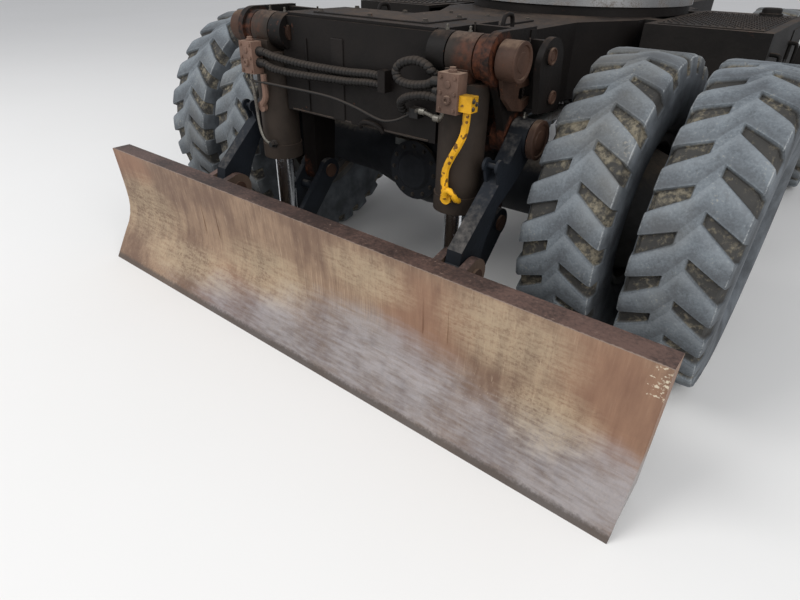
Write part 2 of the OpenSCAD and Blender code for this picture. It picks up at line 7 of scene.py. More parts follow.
# %% Load the solids
import math

import bmesh
import bpy
from mathutils import Matrix, Vector


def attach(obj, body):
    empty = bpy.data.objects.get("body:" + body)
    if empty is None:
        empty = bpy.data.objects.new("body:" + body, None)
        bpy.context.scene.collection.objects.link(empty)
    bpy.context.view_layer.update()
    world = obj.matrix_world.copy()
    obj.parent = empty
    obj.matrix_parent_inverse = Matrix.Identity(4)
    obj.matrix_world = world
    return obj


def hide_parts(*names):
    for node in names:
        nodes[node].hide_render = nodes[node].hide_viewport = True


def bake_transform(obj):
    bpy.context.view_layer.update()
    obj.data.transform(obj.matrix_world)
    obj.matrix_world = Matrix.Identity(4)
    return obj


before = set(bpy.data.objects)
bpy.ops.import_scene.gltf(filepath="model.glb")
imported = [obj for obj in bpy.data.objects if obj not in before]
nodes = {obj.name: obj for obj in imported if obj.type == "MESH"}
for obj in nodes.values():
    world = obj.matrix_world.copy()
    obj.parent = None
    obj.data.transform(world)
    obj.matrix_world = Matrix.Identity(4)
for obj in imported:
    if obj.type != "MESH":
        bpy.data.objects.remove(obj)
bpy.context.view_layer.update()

BOTH = (("right", 1), ("left", -1))

# %% [markdown]
# The camera comes first, so that each later piece can be looked at from the photograph's place. Its
# position, turn, tilt and roll were worked out from the blade's corners and the wheels. A wide lens
# close to the machine makes the near end of the blade loom, as it does in the photograph.

# %% Set up the camera
CAMERA_PLACE = (1.3487, -3.0894, 1.3056)
TURN, DOWN, ROLL = math.radians(37.81), math.radians(32.31), math.radians(1.31)
LENS, SENSOR = 24.6, 36
FARTHEST = 300

camera = bpy.data.objects.new("camera", bpy.data.cameras.new("camera"))
bpy.context.scene.collection.objects.link(camera)
camera.data.lens = LENS
camera.data.sensor_width = SENSOR
camera.data.clip_end = FARTHEST
camera.rotation_mode = "QUATERNION"
ahead = Vector((-math.sin(TURN) * math.cos(DOWN), math.cos(TURN) * math.cos(DOWN), -math.sin(DOWN)))
level = Vector((math.cos(TURN), math.sin(TURN), 0))
across = level * math.cos(ROLL) + level.cross(ahead) * math.sin(ROLL)
axes = Matrix((across, across.cross(ahead), -ahead)).transposed()
camera.rotation_quaternion = axes.to_quaternion()
camera.location = CAMERA_PLACE
bpy.context.scene.camera = camera
print("The camera looks along", tuple(round(v, 3) for v in ahead))

# %% [markdown]
# One small class holds a tree of nodes, for a shader or for Geometry Nodes. It wraps each socket so that
# sums on it read as Python and turn into Math nodes.

# %% Node maths
def sum_of(operation, turned=False):
    """A method that joins two values with a Math node."""
    def method(self, other):
        first, second = (other, self) if turned else (self, other)
        return self.graph.make("Math", {0: first, 1: second}, operation=operation)
    return method


class Value:
    """A socket that can be used in sums."""
    __add__, __mul__, most = sum_of("ADD"), sum_of("MULTIPLY"), sum_of("MAXIMUM")
    __sub__, __rsub__ = sum_of("SUBTRACT"), sum_of("SUBTRACT", True)
    __truediv__, __rtruediv__ = sum_of("DIVIDE"), sum_of("DIVIDE", True)

    def __init__(self, graph, socket):
        self.graph = graph
        self.socket = socket

    def ramp(self, low, high):
        """0 below low, 1 above high, and smooth between. With low above high it falls."""
        return self.graph.make("MapRange", {"Value": self, "From Min": low, "From Max": high},
                               interpolation_type="SMOOTHSTEP")

    def part(self, letter):
        return self.graph.make("SeparateXYZ", {0: self}, "XYZ".index(letter))


class Graph:
    """A node tree that is filled by one method."""

    def __init__(self, tree):
        self.tree = tree

    def make(self, kind, sockets=None, output=0, **settings):
        """Adds a node and gives one of its outputs. A socket takes a constant or another node's output."""
        kinds = (f"{family}Node{kind}" for family in ("Shader", "Geometry", "Function"))
        node = self.tree.nodes.new(next(full for full in kinds if hasattr(bpy.types, full)))
        for name, setting in settings.items():
            setattr(node, name, setting)
        for key, value in (sockets or {}).items():
            if isinstance(value, Value):
                self.tree.links.new(value.socket, node.inputs[key])
            else:
                node.inputs[key].default_value = value
        return Value(self, node.outputs[output])


print("The helpers for node trees are ready")

# %% [markdown]
# A finish is a material that is built up coat by coat. Colours are written from 0 to 255. They go through
# a Mix node, because a Math node would turn them grey. The noises' lattice is tilted, so that it leaves no
# rows on flat plates.

# %% The class for materials
TILT = (0.4, 0.5, 0.3)


def tone(red, green, blue):
    """A colour from a paint card, made linear for a shader."""
    parts = (red, green, blue)
    return tuple(((c / 255 + 0.055) / 1.055) ** 2.4 if c > 10 else c / 3295 for c in parts) + (1,)


class Finish(Graph):
    """A material under construction."""

    def __init__(self, name, gloss=0.5):
        self.material = bpy.data.materials.new(name)
        self.material.use_nodes = True
        super().__init__(self.material.node_tree)
        self.tree.nodes.clear()
        self.shader = self.tree.nodes.new("ShaderNodeBsdfPrincipled")
        end = self.tree.nodes.new("ShaderNodeOutputMaterial")
        self.tree.links.new(self.shader.outputs[0], end.inputs[0])
        self.shader.inputs["Specular IOR Level"].default_value = gloss
        self.place = self.make("TexCoord", output=3)
        self.facing = self.make("TexCoord", output=1)

    def noise(self, size, detail=4.0, stretch=(1, 1, 1), shift=0.0):
        """A cloud pattern with lumps of about this size, in metres, longer where stretch is over 1."""
        scale = tuple(1 / (size * s) for s in stretch)
        place = self.make("Mapping", {"Vector": self.place, "Location": (shift,) * 3, "Rotation": TILT,
                                      "Scale": scale})
        return self.make("TexNoise", {"Vector": place, "Scale": 1.0, "Detail": detail, "Roughness": 0.6})

    def specks(self, size):
        """Distance from scattered points, for chips."""
        place = self.make("Mapping", {"Vector": self.place, "Scale": (1 / size,) * 3})
        return self.make("TexVoronoi", {"Vector": place, "Scale": 1.0})

    def attribute(self, name):
        return self.make("Attribute", output=2, attribute_name=name)

    def mix(self, share, first, second):
        first, second = (tone(*c) if isinstance(c, tuple) else c for c in (first, second))
        return self.make("Mix", {0: share, 6: first, 7: second}, 2, data_type="RGBA")

    def coat(self, share, layer):
        """Covers this share of the colour so far."""
        self.colour = self.mix(share, self.colour, layer)

    def set(self, rough, height=None, depth=0.001, metal=None):
        inputs = self.shader.inputs
        self.tree.links.new(self.colour.socket, inputs["Base Color"])
        self.tree.links.new(rough.socket, inputs["Roughness"])
        if metal is not None:
            self.tree.links.new(metal.socket, inputs["Metallic"])
        if height is not None:
            bump = self.make("Bump", {"Strength": 1.0, "Distance": depth, "Height": height})
            self.tree.links.new(bump.socket, inputs["Normal"])
        return self


print("The class for materials is ready")

# %% [markdown]
# A pale floor, a white world and two large soft lamps make a plain studio. The lamps are weak enough that
# a colour renders about as it is written.

# %% Floor, world and lamps
FLOOR_RADIUS = 70
SKY, SKY_STRENGTH = (0.93, 0.95, 1.0, 1), 0.62
LIT_PLACE = Vector((0, -0.5, 0.4))
LAMP_WIDTH = 5.0

floor_mesh = bmesh.new()
bmesh.ops.create_circle(floor_mesh, cap_ends=True, segments=96, radius=FLOOR_RADIUS)
floor = bpy.data.objects.new("floor", bpy.data.meshes.new("floor"))
floor_mesh.to_mesh(floor.data)
floor_mesh.free()
bpy.context.scene.collection.objects.link(floor)
pale = Finish("pale_floor", 0.1)
cloud = pale.noise(2.5)
pale.colour = pale.mix(cloud, (226, 225, 222), (232, 231, 229))
pale.set(cloud * 0.1 + 0.85)
floor.data.materials.append(pale.material)

world = bpy.data.worlds.new("studio")
world.use_nodes = True
sky = world.node_tree.nodes["Background"].inputs
sky["Color"].default_value = SKY
sky["Strength"].default_value = SKY_STRENGTH
bpy.context.scene.world = world

LAMPS = [("key_lamp", (-3.5, -6.5, 6.5), 420), ("fill_lamp", (5.5, -4.5, 4.0), 230)]
for name, place, power in LAMPS:
    lamp = bpy.data.objects.new(name, bpy.data.lights.new(name, "AREA"))
    lamp.data.shape = "SQUARE"
    lamp.data.size = LAMP_WIDTH
    lamp.data.energy = power
    lamp.location = place
    lamp.rotation_mode = "QUATERNION"
    lamp.rotation_quaternion = (LIT_PLACE - Vector(place)).to_track_quat("-Z", "Y")
    bpy.context.scene.collection.objects.link(lamp)
bpy.context.scene.view_settings.view_transform = "Standard"
print("The studio has", len(LAMPS), "lamps")

# %% [markdown]
# Paint on a working machine is dull, dusty where it faces up, and rusty in specks and round edges. One
# recipe makes every painted finish: a mottled base, rust through the gaps of a fine noise, and dust that
# depends on which way the surface faces. Where asked, rust creeps out from the pins of the blade's
# linkage, or the paint has chips.

# %% Painted finishes
# In metres: the pins, behind and above the origin, then the squares of how far rust reaches from them and
# of where it starts across the machine
PINS = [(-1.61, 1.06), (-1.47, 0.82), (-1.41, 0.483)]
REACH, STAIN_FROM = (0.013, 0.003), (0.16, 0.20)
PAINT_GLOSS = 0.16


def weathered(name, paint, dust, rust, dusty, rough=0.6, stain=0.0, chips=0.0):
    """Old paint. rust, dusty, stain and chips say how much of each, from 0 to 1."""
    finish = Finish(name, PAINT_GLOSS)
    cloud = finish.noise(0.22, 5)
    grain = finish.noise(0.018, 7)
    finish.colour = finish.mix(cloud.ramp(0.3, 0.7), paint, tuple(0.62 * c for c in paint))
    rusty = (grain * 0.6 + cloud * 0.4).ramp(0.70 - 0.22 * rust, 0.76 - 0.18 * rust)
    if stain:
        behind, up, across_x = (finish.place.part(letter) for letter in "YZX")
        outside = (across_x * across_x).ramp(*STAIN_FROM)
        for y, z in PINS:
            off_y, off_z = behind - y, up - z
            near = (off_y * off_y + off_z * off_z).ramp(*REACH)
            spread = (near * 0.4 + grain * 0.5 + cloud * 0.5).ramp(0.76, 1.0)
            rusty = rusty.most(spread * near * outside * stain)
    finish.coat(rusty, finish.mix(grain, (54, 31, 23), (98, 56, 37)))
    if chips:
        flaked = (finish.specks(0.022) * 0.5 + grain * 0.5 + cloud * 0.4).ramp(0.615, 0.56)
        finish.coat(flaked * chips, finish.mix(cloud, (58, 38, 26), (98, 66, 44)))
    settled = finish.facing.part("Z").ramp(0.2, 0.95) * 0.85 + 0.15
    dirt = (settled * (cloud * 0.7 + grain * 0.6)).ramp(0.62 - 0.5 * dusty, 1.0 - 0.4 * dusty)
    finish.coat(dirt, dust)
    return finish.set(dirt * (0.95 - rough) + rough, grain + rusty * 0.5, 0.0012)


# The charcoal, frame, link and box colours are dark paint made darker still by painted shade
charcoal_and_shade = weathered("charcoal_paint", (26, 22, 20), (78, 66, 57), 0.3, 0.32)
frame_paint = weathered("frame_paint", (22, 18, 16), (70, 58, 49), 0.35, 0.28, stain=0.9)
barrel_paint = weathered("barrel_paint", (52, 44, 38), (96, 82, 72), 0.35, 0.38, stain=0.6)
axle_grey = weathered("axle_paint", (48, 50, 54), (108, 100, 90), 0.1, 0.48)
link_grey_and_shade = weathered("link_paint", (27, 31, 37), (98, 94, 90), 0.15, 0.34)
box_dark_and_shade = weathered("box_paint", (28, 25, 23), (78, 67, 58), 0.3, 0.34)
cap_brown = weathered("cap_paint", (72, 52, 42), (106, 88, 74), 0.5, 0.5)
block_brown = weathered("block_paint", (114, 90, 78), (142, 120, 104), 0.3, 0.55)
rim_grey = weathered("rim_paint", (96, 95, 93), (132, 120, 106), 0.35, 0.6)
tab_grey = weathered("tab_paint", (120, 122, 120), (120, 110, 98), 0.1, 0.5)
bolt_steel = weathered("bolt_paint", (72, 68, 64), (120, 106, 92), 0.5, 0.5)
weld_steel = weathered("weld_bead", (58, 52, 48), (112, 96, 82), 0.5, 0.45)
yellow = weathered("yellow_paint", (232, 172, 38), (198, 152, 72), 0.4, 0.15, rough=0.4, chips=0.9)
print("Thirteen painted finishes")

# %% [markdown]
# Bare steel is a metal, so its colour is its reflection. Chrome is smooth, machined steel is spotted with
# dirt, and the thin lines are mostly dull.

# %% Bare metals
def bare(name, steel, dirt, rough, spotted):
    finish = Finish(name)
    cloud = finish.noise(0.12, 5)
    grain = finish.noise(0.006, 6)
    soiled = (cloud * 0.6 + grain * 0.4).ramp(0.6 - 0.2 * spotted, 0.72 - 0.1 * spotted)
    finish.colour = finish.mix(soiled, steel, dirt)
    return finish.set(soiled * (0.85 - rough) + (grain * 0.12 + rough), grain, 0.0004,
                      metal=1 - soiled * 0.9)


chrome = bare("chrome", (205, 208, 212), (120, 104, 90), 0.12, 0.15)
machined = bare("machined_steel", (150, 150, 150), (104, 92, 82), 0.38, 0.7)
steel_tube = bare("tube_steel", (120, 117, 110), (66, 58, 50), 0.42, 0.9)
print("Three bare metals")

# %% [markdown]
# The blade's front is scoured by the earth it pushes. It is brown with rust, polished grey low down in the
# middle, streaked up and down by brushing stones, and patched with pale dried mud. The streaks are a noise
# that is squeezed across the machine and stretched up it. The large patches have chosen places, and a
# noise frays their edges.

# %% Patches on the blade
# Middle across, middle up, half width and half height, in metres
MUD = [(0.82, 0.40, 0.20, 0.12), (0.98, 0.22, 0.14, 0.10), (-0.22, 0.24, 0.22, 0.10),
       (-1.06, 0.27, 0.26, 0.15), (-0.72, 0.13, 0.34, 0.07), (0.30, 0.42, 0.18, 0.08)]
POLISH = [(0.38, 0.10, 0.50, 0.15), (-0.10, 0.05, 0.55, 0.10), (1.00, 0.08, 0.40, 0.13)]
RED_RUST = [(1.16, 0.36, 0.17, 0.17), (0.56, 0.34, 0.16, 0.15), (-0.42, 0.07, 0.22, 0.10),
            (-1.15, 0.46, 0.2, 0.08)]


def patches(finish, places, frayed):
    """1 inside the patches and 0 outside, with the noise moving their edges."""
    across_x, up = finish.place.part("X"), finish.place.part("Z")
    total = None
    for x, z, wide, high in places:
        off_x, off_z = (across_x - x) * (1 / wide), (up - z) * (1 / high)
        near = 1.0 - (off_x * off_x + off_z * off_z)
        total = near if total is None else total.most(near)
    return (total.most(-1.5) + frayed * 4.0 - 2.0).ramp(-0.9, 1.1)


print(len(MUD + POLISH + RED_RUST), "patches")

# %% The blade's finish
# In metres: where the ears behind the blade start, where the top plate lies, and its worn front edge
EARS, TOP_PLATE, WORN_EDGE = (-1.864, -1.850), (0.50, 0.518), (1.939, 1.943)


def blade_finish():
    finish = Finish("rusty_blade", 0.45)
    streak = finish.noise(0.005, 5, stretch=(1, 1, 40))
    broad = finish.noise(0.035, 5, stretch=(1, 1, 6), shift=3.0)
    cloud = finish.noise(0.28, 7)
    slant = finish.noise(0.012, 6, stretch=(7, 1, 1), shift=7.0)
    grit = finish.noise(0.010, 8, shift=9.0)
    across_x, behind, up = (finish.place.part(letter) for letter in "XYZ")
    # Brown with dark and pale streaks, then red rust, polish, mud and dark specks
    finish.colour = finish.mix((cloud * 0.6 + broad * 0.4).ramp(0.38, 0.62), (106, 82, 66), (146, 121, 98))
    finish.coat((streak * 0.6 + broad * 0.2 + cloud * 0.2).ramp(0.50, 0.66) * 0.5, (98, 74, 62))
    finish.coat(streak.ramp(0.42, 0.30) * 0.35, (184, 164, 140))
    red = patches(finish, RED_RUST, cloud)
    finish.coat(red * 0.8, finish.mix(broad, (106, 72, 55), (146, 110, 86)))
    polished = patches(finish, POLISH, cloud * 0.6 + broad * 0.2 + slant * 0.2)
    silver = finish.mix((cloud * 0.5 + slant * 0.5).ramp(0.35, 0.65), (104, 102, 104), (158, 159, 164))
    finish.coat(polished * 0.64, silver)
    mud = patches(finish, MUD, cloud * 0.45 + broad * 0.25 + slant * 0.3)
    flaky = (grit * 0.5 + slant * 0.5).ramp(0.36, 0.58)
    finish.coat(mud * (flaky * 0.34 + 0.12), (184, 168, 140))
    finish.coat((grit * 0.5 + cloud * 0.25 + slant * 0.25).ramp(0.45, 0.35) * 0.35, (84, 66, 54))
    # Pale chips at the right end of the front, and a darker colour along the bottom
    right_end = across_x.ramp(1.10, 1.24) * up.ramp(0.28, 0.44)
    chipped = (right_end * 0.28 + slant * 0.35 + grit * 0.45).ramp(0.70, 0.74)
    front = finish.facing.part("Y").ramp(-0.3, -0.8)
    finish.coat(chipped * front * 0.7, (214, 204, 180))
    dark_bottom = (up.ramp(0.06, 0.0) * 0.9 + grit * 0.5).ramp(0.70, 1.05)
    finish.coat(dark_bottom * 0.8, (70, 62, 56))
    # Dark paint on the ears behind, and a dark top plate with a worn front edge
    finish.coat(behind.ramp(*EARS) * 0.85, finish.mix(cloud, (38, 31, 27), (76, 58, 46)))
    plate = finish.facing.part("Z").ramp(0.75, 0.95) * up.ramp(*TOP_PLATE)
    top = finish.mix((cloud * 0.6 + grit * 0.4).ramp(0.38, 0.62), (52, 40, 36), (96, 74, 66))
    worn = (behind * -1.0 + grit * 0.012).ramp(*WORN_EDGE)
    scraped = worn.most((grit * 0.6 + slant * 0.4).ramp(0.60, 0.68))
    finish.coat(plate, finish.mix(scraped * 0.7, top, (150, 132, 118)))
    rough = 0.60 - polished * 0.16 + mud * 0.25
    height = grit * 0.5 + streak * 0.4 + mud * 0.4
    return finish.set(rough, height, metal=polished * 0.3)


rusty = blade_finish()
print("The blade has its own finish")

# %% [markdown]
# The tyres are dusty grey on the tread, darker on the sides, and packed with tan dirt at the bottom of the
# grooves. Painted shade darkens the grooves, and each lug has a painted highlight on one edge and painted
# shade on the other. The mesh stores how deep each point lies in a groove, how much it belongs to the
# tread, and how far up its lug it is, so that the dirt, the wear, the painted shade and the painted
# highlights follow the real shape.

# %% Rubber finishes
def tyre_finish():
    finish = Finish("tyre_rubber", 0.3)
    cloud = finish.noise(0.12, 6)
    grain = finish.noise(0.007, 7)
    scratch = finish.noise(0.02, 5, stretch=(1, 1, 4))
    crumbs = finish.noise(0.016, 6, shift=4.0)
    broad = finish.noise(0.5, 4, shift=2.0)
    deep, wear, lug = (finish.attribute(name) for name in ("groove", "tread", "lug"))
    lug = lug * 0.8 + cloud * 0.2
    sidewall = finish.mix(cloud.ramp(0.3, 0.7), (62, 65, 68), (98, 103, 108))
    # The tread: brown and dark clouds, pale grains, a painted highlight and painted shade on each lug
    finish.colour = finish.mix((cloud * 0.6 + grain * 0.4).ramp(0.35, 0.65), (80, 84, 88), (112, 119, 124))
    finish.coat(broad.ramp(0.42, 0.66) * 0.5, (104, 100, 92))
    finish.coat((scratch * 0.6 + cloud * 0.4).ramp(0.54, 0.66) * 0.6, (70, 72, 74))
    finish.coat((grain * 0.6 + cloud * 0.4).ramp(0.58, 0.66) * 0.55, (150, 144, 130))
    finish.coat(lug.ramp(0.45, 0.85) * 0.3, (138, 144, 148))
    finish.coat(lug.ramp(0.50, 0.12) * 0.45, (70, 72, 75))
    finish.colour = finish.mix(wear, sidewall, finish.colour)
    scuffed = wear.ramp(0.60, 0.78) * wear.ramp(0.97, 0.82) * (grain * 0.6 + cloud * 0.4).ramp(0.42, 0.58)
    finish.coat(scuffed * 0.6, (166, 168, 168))
    # Painted shade: everything down in a groove is covered with a dark colour
    in_groove = deep.ramp(0.25, 0.9)
    finish.coat(in_groove, finish.mix(cloud, (38, 38, 38), (72, 70, 66)))
    packed = in_groove * (crumbs * 0.5 + cloud * 0.4 + broad * 0.3).ramp(0.56, 0.72)
    finish.coat(packed * 0.75, finish.mix(grain, (104, 97, 82), (164, 154, 132)))
    return finish.set(cloud * 0.15 + 0.7, grain + scratch * 0.4 + packed * 1.5, 0.0015)


def hose_finish(name, dark, dust):
    finish = Finish(name, 0.28)
    cloud = finish.noise(0.05, 5)
    grain = finish.noise(0.008, 6)
    settled = finish.facing.part("Z").ramp(-0.5, 0.9)
    dirt = (settled * 0.6 + cloud * 0.4 + grain * 0.2).ramp(0.45, 0.95)
    finish.colour = finish.mix(dirt, dark, dust)
    return finish.set(dirt * 0.35 + 0.5, grain, 0.0006)


rubber = tyre_finish()
hose_black = hose_finish("hose_rubber", (18, 17, 17), (56, 50, 45))
guard_grey = hose_finish("guard_plastic", (17, 15, 14), (54, 47, 41))
print("Rubber for the tyres and the hoses")

# %% [markdown]
# The solids that already have the right shape keep their mesh and get a finish.

# %% Give the solids their finishes
# A star stands for left and right
DRESS = {
    charcoal_and_shade: "main_frame steering_cylinder",
    frame_paint: "dozer_frame",
    barrel_paint: "barrel_*",
    axle_grey: "blade_axle steer_axle gearbox hub_blade_* hub_steer_* knuckle_*",
    link_grey_and_shade: "lower_link upper_link_*",
    box_dark_and_shade: "side_box_*",
    cap_brown: "frame_pins blade_pins",
    block_brown: "valve_* feed_tube_left",
    yellow: "feed_tube_right",
    chrome: "rod_* steering_rod",
    machined: "slew_base slew_race swivel_joint propshafts",
    rim_grey: "rims_blade_* rims_steer_*",
    rusty: "blade cutting_edge",
}
dressed = {member.replace("*", word): finish for finish, members in DRESS.items()
           for member in members.split() for word, _ in BOTH}
for member, finish in dressed.items():
    nodes[member].data.materials.clear()
    nodes[member].data.materials.append(finish.material)
print(len(dressed), "solids dressed")

# %% [markdown]
# A recipe is a Geometry Nodes tree with named inputs. It runs on an object, the result is frozen to a plain
# mesh, and the modifier goes.

# %% The class for recipes
class Recipe(Graph):
    """A Geometry Nodes tree with named sizes."""

    KINDS = {int: "NodeSocketInt", float: "NodeSocketFloat", tuple: "NodeSocketVector",
             type(None): "NodeSocketMaterial"}

    def __init__(self, name, **sizes):
        super().__init__(bpy.data.node_groups.new(name, "GeometryNodeTree"))
        face = self.tree.interface
        face.new_socket("Geometry", in_out="INPUT", socket_type="NodeSocketGeometry")
        face.new_socket("Geometry", in_out="OUTPUT", socket_type="NodeSocketGeometry")
        self.keys = {}
        for label, size in dict(sizes, Finish=None).items():
            socket = face.new_socket(label, in_out="INPUT", socket_type=self.KINDS[type(size)])
            if size is not None:
                socket.default_value = size
            self.keys[label] = socket.identifier
        self.entry = self.tree.nodes.new("NodeGroupInput")
        self.source = Value(self, self.entry.outputs[0])

    def size(self, label):
        return Value(self, self.entry.outputs[label])

    def line(self):
        """The edges of the source as curves, with a point at every step."""
        curve = self.make("MeshToCurve", {0: self.source})
        return self.make("ResampleCurve", {"Curve": curve, "Length": self.size("Step")}, mode="LENGTH")

    def section(self, sides):
        """A circle of the recipe's radius."""
        sizes = {"Resolution": sides, "Radius": self.size("Radius")}
        return self.make("CurvePrimitiveCircle", sizes, mode="RADIUS")

    def sweep(self, line, section):
        return self.make("CurveToMesh", {"Curve": line, "Profile Curve": section, "Fill Caps": True})

    def copy(self, shape, points, **more):
        """A copy of the shape on each point."""
        return self.make("InstanceOnPoints", dict(more, Points=points, Instance=shape))

    def end(self, shape):
        """Realises the copies, sets their material and closes the tree."""
        real = self.make("RealizeInstances", {0: shape})
        done = self.make("SetMaterial", {"Geometry": real, "Material": self.size("Finish")})
        leave = self.tree.nodes.new("NodeGroupOutput")
        self.tree.links.new(done.socket, leave.inputs[0])

    def grow(self, piece, finish, **sizes):
        """Runs the recipe on a piece and leaves its result as a plain mesh."""
        step = piece.modifiers.new(self.tree.name, "NODES")
        step.node_group = self.tree
        for label, size in dict(sizes, Finish=finish.material).items():
            step[self.keys[label]] = size
        bpy.context.view_layer.update()
        ready = piece.evaluated_get(bpy.context.evaluated_depsgraph_get())
        mesh = bpy.data.meshes.new_from_object(ready)
        piece.modifiers.remove(step)
        piece.data = mesh


print("The class for recipes is ready")

# %% [markdown]
# Every piece starts as an object at the origin, with its place in its mesh. Most are grown by a recipe,
# from lines or from single places, and then hung on the body that they ride on.

# %% Helpers for pieces
def at(x, y, z, side=1):
    """A place in mm, given in metres, and mirrored for the left side."""
    return Vector((side * x / 1000, y / 1000, z / 1000))


def new_piece(name, points, faces, finish=None, edges=()):
    """An object at the origin, with its place in its mesh."""
    mesh = bpy.data.meshes.new(name)
    mesh.from_pydata(points, list(edges), faces)
    piece = bpy.data.objects.new(name, mesh)
    bpy.context.scene.collection.objects.link(piece)
    if finish is not None:
        mesh.materials.append(finish.material)
    return piece


def soften(piece, degrees):
    """Shades a piece smoothly, apart from edges sharper than this, and says how large it is."""
    piece.data.shade_smooth()
    piece.data.set_sharp_from_angle(angle=math.radians(degrees))
    piece.data.calc_loop_triangles()
    print(piece.name, len(piece.data.loop_triangles), "triangles")


def grow_piece(name, body, recipe, finish, lines, degrees, **sizes):
    """A piece that a recipe grows along lines of places in metres. With no body, the caller hangs it or
    leaves it where it is.
    """
    points, edges = [], []
    for line in lines:
        first = len(points)
        points += [tuple(place) for place in line]
        edges += [(i, i + 1) for i in range(first, len(points) - 1)]
    piece = new_piece(name, points, [], edges=edges)
    recipe.grow(piece, finish, **sizes)
    soften(piece, degrees)
    if body:
        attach(piece, body)
    return piece


print("The helpers for pieces are ready")

# %% [markdown]
# A road tyre for a wheeled digger has a row of slanting lugs on each side of a solid rib, staggered by
# almost half a pitch. One pitch of tyre is drawn as a grid. Its rows run across the section and its columns
# follow the edges of the grooves, so that each groove has real walls.

# %% Section and grooves of the tyre
LUGS = 26
PITCH = 360 / LUGS

# Half section of the tyre, from the middle of the tread round to the middle of its inside, in mm:
# radius and offset of the land, then radius and offset of the groove's floor. None stands for the inner
# end of a groove, and OUTSIDE for a point just outside it.
OUTSIDE = 5
SECTION = [
    (530, 6, 530, 6), (530, 12, 530, 12), (530, None, 530, None),
    (529.5, OUTSIDE, 516, OUTSIDE),
    (530, 62, 515.5, 62), (530, 95, 514, 95), (529.3, 112, 511, 111), (527, 121, 505, 116),
    (521, 127, 497, 118.5), (508, 129, 487, 121.5), (492, 131.2, 478, 127), (470, 133.3, 470, 133.3),
    (461, 134, 461, 134), (455, 135.6, 455, 135.6), (432, 136.2, 432, 136.2), (400, 136.9, 400, 136.9),
    (372, 136, 372, 136), (345, 132, 345, 132), (318, 124, 318, 124), (300, 114, 300, 114),
    (284, 96.5, 284, 96.5), (268, 94.7, 268, 94.7), (262.3, 90, 262.3, 90), (262.3, 62, 262.3, 62),
    (283, 62, 283, 62), (290, 84, 290, 84), (340, 110, 340, 110), (400, 117, 400, 117),
    (470, 112, 470, 112), (500, 90, 500, 90),
]
# Each side's inner end of a groove in mm, and its edges in degrees, at the shoulder and at that end
GROOVES = {-1: (28, (21.0, 27.9), (28.0, 32.2)), 1: (16, (27.0, 33.3), (35.7, 39.4))}
MEETING = -7
SHOULDER = 128
# In degrees: the width of a groove's sloping wall and of its rounded edge
WALL, ROUNDED = 0.55, 0.7
GROOVE_DEPTH = 14


def groove_at(offset):
    """The first and last angle of the groove at this offset from the tyre's middle."""
    side = 1 if offset >= MEETING else -1
    inner, shoulder, end = GROOVES[side]
    if -GROOVES[-1][0] <= offset <= GROOVES[1][0]:
        share = (offset + GROOVES[-1][0]) / (GROOVES[1][0] + GROOVES[-1][0])
        return tuple(a + (b - a) * share for a, b in zip(GROOVES[-1][2], GROOVES[1][2]))
    share = min(max((SHOULDER - abs(offset)) / (SHOULDER - inner), 0), 1)
    return tuple(a + (b - a) * share for a, b in zip(shoulder, end))


def tyre_rows():
    """Every row of the closed section, as land radius, land offset, floor radius, floor offset."""
    rows = []
    for side in (-1, 1):
        inner = GROOVES[side][0]
        half = []
        for radius, offset, low_radius, low_offset in SECTION:
            if offset is None:
                offset, low_offset = inner, inner
            elif (offset, low_offset) == (OUTSIDE, OUTSIDE):
                offset, low_offset = inner + 4, inner + 6
            half.append((radius, offset * side, low_radius, low_offset * side))
        rows += half[::-1] if side < 0 else half
    return rows


print(len(tyre_rows()), "rows in the tyre's section")

# %% One pitch of tyre
# How far up its lug each column is, for the painted highlight and shade on the lugs, and the radii in mm
# above which the tread and the shoulder start
LUG_MARKS = [1.0, 0.5, 0.5, 0.5, 0.5, 0.5, 0.0, 0.33, 0.67, 1.0]
TREAD_FROM, SHOULDER_FROM = 526, 504


def tyre_pitch(middle):
    """Points, faces and the groove, tread and lug marks of one pitch, with its middle at this X."""
    rows = tyre_rows()
    points, deep, worn = [], [], []
    for radius, offset, low_radius, low_offset in rows:
        first, last = groove_at(offset)
        land = [last + ROUNDED + (first + PITCH - last - 2 * ROUNDED) * share for share in (1 / 3, 2 / 3)]
        # Angle in degrees of each column, and how far down the groove it is
        columns = [(first - ROUNDED, 0), (first, 0.09), (first + WALL, 1), ((first + last) / 2, 1.06),
                   (last - WALL, 1), (last, 0.09), (last + ROUNDED, 0), (land[0], 0), (land[1], 0),
                   (first + PITCH - ROUNDED, 0)]
        drop = math.hypot(radius - low_radius, offset - low_offset)
        for angle, share in columns:
            here = radius + (low_radius - radius) * share
            side = offset + (low_offset - offset) * share
            turn = math.radians(angle)
            points.append((middle + side / 1000, -here / 1000 * math.cos(turn), here / 1000 * math.sin(turn)))
            deep.append(min(share * drop / GROOVE_DEPTH, 1))
            worn.append(1.0 if radius > TREAD_FROM else 0.55 if radius > SHOULDER_FROM else 0.0)
    wide = len(LUG_MARKS)
    faces = []
    for row in range(len(rows)):
        here, after = row * wide, (row + 1) % len(rows) * wide
        faces += [(here + k, after + k, after + k + 1, here + k + 1) for k in range(wide - 1)]
    return points, faces, deep, worn, LUG_MARKS * len(rows)


print(len(tyre_pitch(0)[0]), "points in a pitch")

# %% [markdown]
# A recipe turns 26 copies of the pitch round the axle and welds them. Each wheel has twin tyres.

# %% Turn the pitch into tyres
ring = Recipe("ring_of_copies", Copies=LUGS, Centre=(0.0, 0.0, 0.0), Weld=0.0002)
spots = ring.make("MeshLine", {"Count": ring.size("Copies"), "Offset": (0, 0, 0)})
turn = ring.make("InputIndex") * (-2 * math.pi / ring.size("Copies"))
spin = ring.make("CombineXYZ", {"X": turn})
copies = ring.make("RealizeInstances", {0: ring.copy(ring.source, spots, Rotation=spin)})
welded = ring.make("MergeByDistance", {"Geometry": copies, "Distance": ring.size("Weld")})
ring.end(ring.make("Transform", {"Geometry": welded, "Translation": ring.size("Centre")}))

